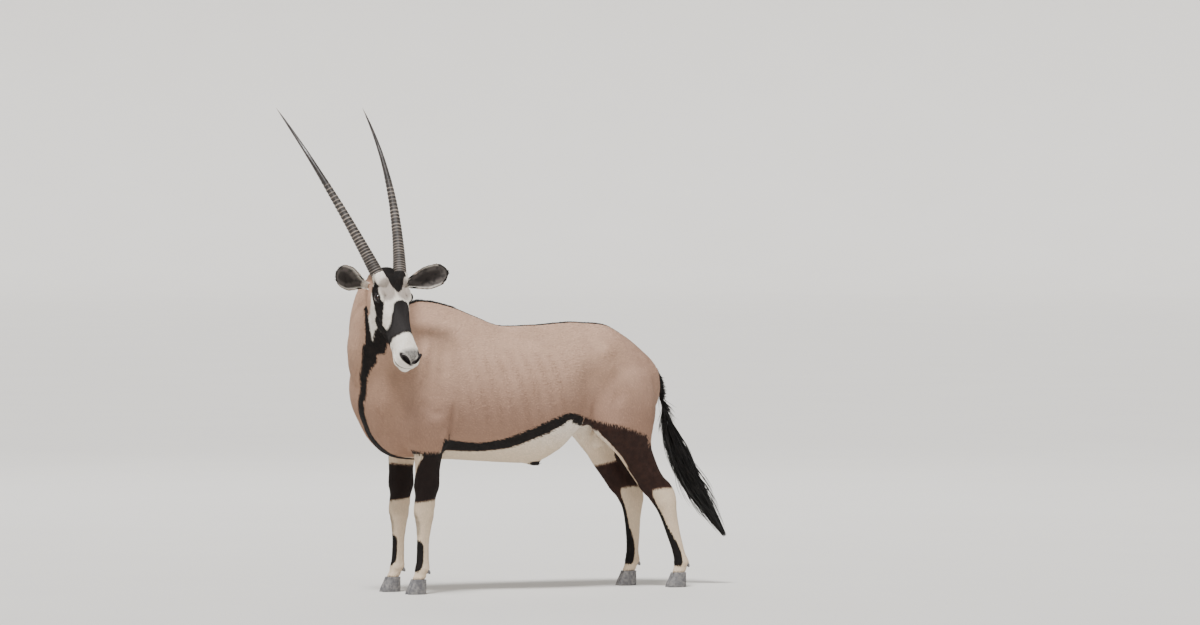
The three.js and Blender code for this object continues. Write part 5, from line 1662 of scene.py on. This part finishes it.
neck_top = (tri_part == NECK_ID) & (np.sin(tri_angle) > 0) & (np.abs(np.cos(tri_angle)) < 0.11)
neck_top &= skin_field.share[tri_first] < 0.97
withers = (tri_part == TRUNK_ID) & (region_x < -330) & (region_out < 12) & (region_z > 1100)
spine = np.isin(tri_part, BACK_IDS) & ~withers & (region_x < 575) & (region_out < 16)
spine &= region_z > np.where(region_x > 400, 890, 1000)
standing(neck_top | withers, 2600, 20, 2.0, 0.6, 0.4, long_hair, "mane", "coat")
standing(spine, 2900, 15, 1.8, 0.5, 0.3, long_hair, "spine_hair", "coat", curl=0.7, stops=4)
rims = ear_side & ~hollow & (marks["cream"][skin_tris].max(axis=1) > 1)
standing(rims, 900, 15, 1.4, 0.35, 0.6, short_hair, "ear_fringe", "coat", stops=4, curl=0.9)


def tail_hair():
    """The tail's tassel: broad locks round its course and finer strands between and beyond them, each
    leaving the dock at its own height and swinging out and in again, the last drawn out to a thin point."""
    length, curve = course(TASSEL)
    made, tones = [], []
    for count, stops, sides, width, thick, first, last, span, spread in (
        (340, 9, 4, 6.5, 2.2, 0.0, 0.55, (0.32, 0.5), 1.0),
        (1700, 8, 3, 2.0, 0.8, 0.0, 0.66, (0.3, 0.5), 1.12),
        (70, 10, 3, 2.4, 1.0, 0.3, 0.62, (0.26, 0.4), 1.3),
    ):
        wisps = count < 100
        start = draw.uniform(first, last, count)
        end = np.minimum(start + draw.uniform(*span, count) + 0.08 * start, 1.03)
        angle = draw.uniform(0, 2 * np.pi, count)
        flare = np.sqrt(draw.uniform(0.03, 1.0, count)) * spread
        t = np.linspace(0, 1, stops)
        at = curve(np.clip(start[:, None] + (end - start)[:, None] * t, 0, 1) * length)
        normal, left, back = directions(at[..., 3], at[..., 4])
        twist = angle[:, None] + draw.normal(0, 0.35, count)[:, None] * t
        out = left * np.cos(twist)[..., None] + back * np.sin(twist)[..., None]
        flare = np.where(wisps, spread, flare)
        off = at[..., 5] * flare[:, None] * (0.42 + 1.38 * t - (0.35 if wisps else 0.85) * t**2)
        wave = draw.normal(0, 2.2, (count, 1)) * np.sin(2 * np.pi * t * draw.uniform(0.8, 1.8, (count, 1)))
        side = np.cross(out, normal)
        past = np.maximum(end - 1, 0)[:, None, None] * length * (t**4)[None, :, None] * normal
        path = at[..., :3] + off[..., None] * out + wave[..., None] * side + past
        profile = np.interp(t, [0, 0.35, 0.75, 1], [0.7, 1, 0.65, 0.05])
        widths = width * draw.uniform(0.7, 1.3, count)
        made.append(strands(path, side, out, widths, np.full(count, thick), profile, sides))
        tones.append((draw.normal(0.5, 0.2, count), start, angle))
    points, quads, caps, owner, place, base, first = [], [], [], [], [], 0, 0
    for (shell, own, spot), (tone, _, _) in zip(made, tones):
        points.append(shell[0])
        quads.append(shell[1] + base)
        caps.append(shell[2] + base)
        owner.append(own + first)
        place.append(spot)
        base += len(shell[0])
        first += len(tone)
    # Quads of the four-sided locks come first, so each kind keeps its own order of corners.
    shell = (np.concatenate(points), np.concatenate(quads), np.concatenate(caps))
    tone, start, angle = (np.concatenate(parts) for parts in zip(*tones))
    uv = np.stack([0.28 + 0.2 * start, 0.78 + 0.18 * angle / (2 * np.pi)], -1)
    return (shell, np.concatenate(owner), np.concatenate(place)), uv, {"tone": tone}


made, uv, found = tail_hair()
add_hair("tail_hair", made, uv, found, long_hair, "tassel", "tail_tassel")
on_dock = (skin_field.ratios[DOCK_ID][tri_first] < 1.4) & (region_x > 560) & (region_z < 925)
on_dock &= region_out < 24
low_dock = on_dock & (region_z <= 790) & (region_z > 665)
standing(on_dock & (region_z > 790), 1100, 26, 2.0, 0.6, 0.16, long_hair, "dock_hair", "tassel", stops=5)
standing(low_dock, 700, 90, 2.6, 0.8, 0.2, long_hair, "dock_locks", "tassel")


# Floor, light and camera.
plain, shader, add, join = new_material("plain_pale_floor")
join(blend(add, speckle(add, 900, 2), colour("d6d3cf"), colour("dad8d4")), shader.inputs["Base Color"])
shader.inputs["Roughness"].default_value = 0.95
# Flat out to 52 m, then swept up into a low wall all round.
FLAT, WALL, STEPS = 52, 8, 96
bend = np.linspace(0, np.pi / 2, 13)
reach = np.concatenate([[3.0], FLAT + WALL * np.sin(bend)])
height = np.concatenate([[0.0], WALL * (1 - np.cos(bend))])
turn = np.linspace(0, 2 * np.pi, STEPS, endpoint=False)
around = np.stack([np.cos(turn), np.sin(turn)], -1)
heights = np.repeat(height, STEPS).reshape(-1, STEPS, 1)
sweep = np.concatenate([reach[:, None, None] * around, heights], -1)
ring = np.arange(STEPS)
at = ring + STEPS * np.arange(len(reach) - 1)[:, None]
ahead = np.roll(at, -1, axis=1)
quads = np.stack([at, at + STEPS, ahead + STEPS, ahead], -1).reshape(-1, 4)
fan = np.stack([ring, np.roll(ring, -1), np.full(STEPS, sweep.size // 3)], -1)
floor = add_mesh("floor", (np.concatenate([sweep.reshape(-1, 3), np.zeros((1, 3))]), quads, fan), shift=False)
floor.data.materials.append(plain)

world = bpy.data.worlds.new("pale_room")
bpy.context.scene.world = world
world.use_nodes = True
sky = next(n for n in world.node_tree.nodes if n.type == "BACKGROUND")
sky.inputs["Color"].default_value = colour("e6e4e0")
sky.inputs["Strength"].default_value = 0.66


def looking(way):
    """The turn of a lamp or camera that looks along a direction, its top kept up."""
    way = unit(np.asarray(way, float))
    return (np.pi / 2 + np.arcsin(way[2]), 0.0, np.arctan2(-way[0], way[1]))


# Where the lamps point, on the body.
AIM = np.array([0.0, 0.0, 0.9])


def add_lamp(name, kind, at, size, power):
    """A soft light aimed at the body: a square one, or one from far off that lights the whole floor alike."""
    lamp = bpy.data.lights.new(name, kind)
    if kind == "SUN":
        lamp.angle = np.radians(size)
    else:
        lamp.size = size
    lamp.energy = power
    ob = bpy.data.objects.new(name, lamp)
    bpy.context.scene.collection.objects.link(ob)
    ob.location = at
    ob.rotation_euler = looking(AIM - np.array(at))


add_lamp("key", "SUN", (-3.6, -4.0, 12.0), 14.0, 4.8)
add_lamp("back", "AREA", (3.0, 9.0, 7.0), 6.0, 250)

# The viewpoint: where it stands, in degrees round the body and metres, and in pixels of the frame its focal
# length and how far its aim lies from the body's middle.
azimuth, distance, height = np.radians(-24), 32.0, 1.971
f_pixels, aside, below, frame_width = 7744.0, 75.3, 199.5, 1200
turned, tipped = np.arctan(aside / f_pixels), -np.arctan(below / f_pixels)
camera = bpy.data.cameras.new("camera")
camera.sensor_width = 36.0
camera.lens = camera.sensor_width * f_pixels / frame_width
camera.clip_end = 600.0
view = bpy.data.objects.new("camera", camera)
bpy.context.scene.collection.objects.link(view)
view.location = np.array([np.sin(azimuth), -np.cos(azimuth), 0]) * distance + [0, 0, height] + SHIFT * MM
heading = azimuth - turned
view.rotation_euler = looking(
    np.array([-np.sin(heading) * np.cos(tipped), np.cos(heading) * np.cos(tipped), np.sin(tipped)])
)
bpy.context.scene.camera = view
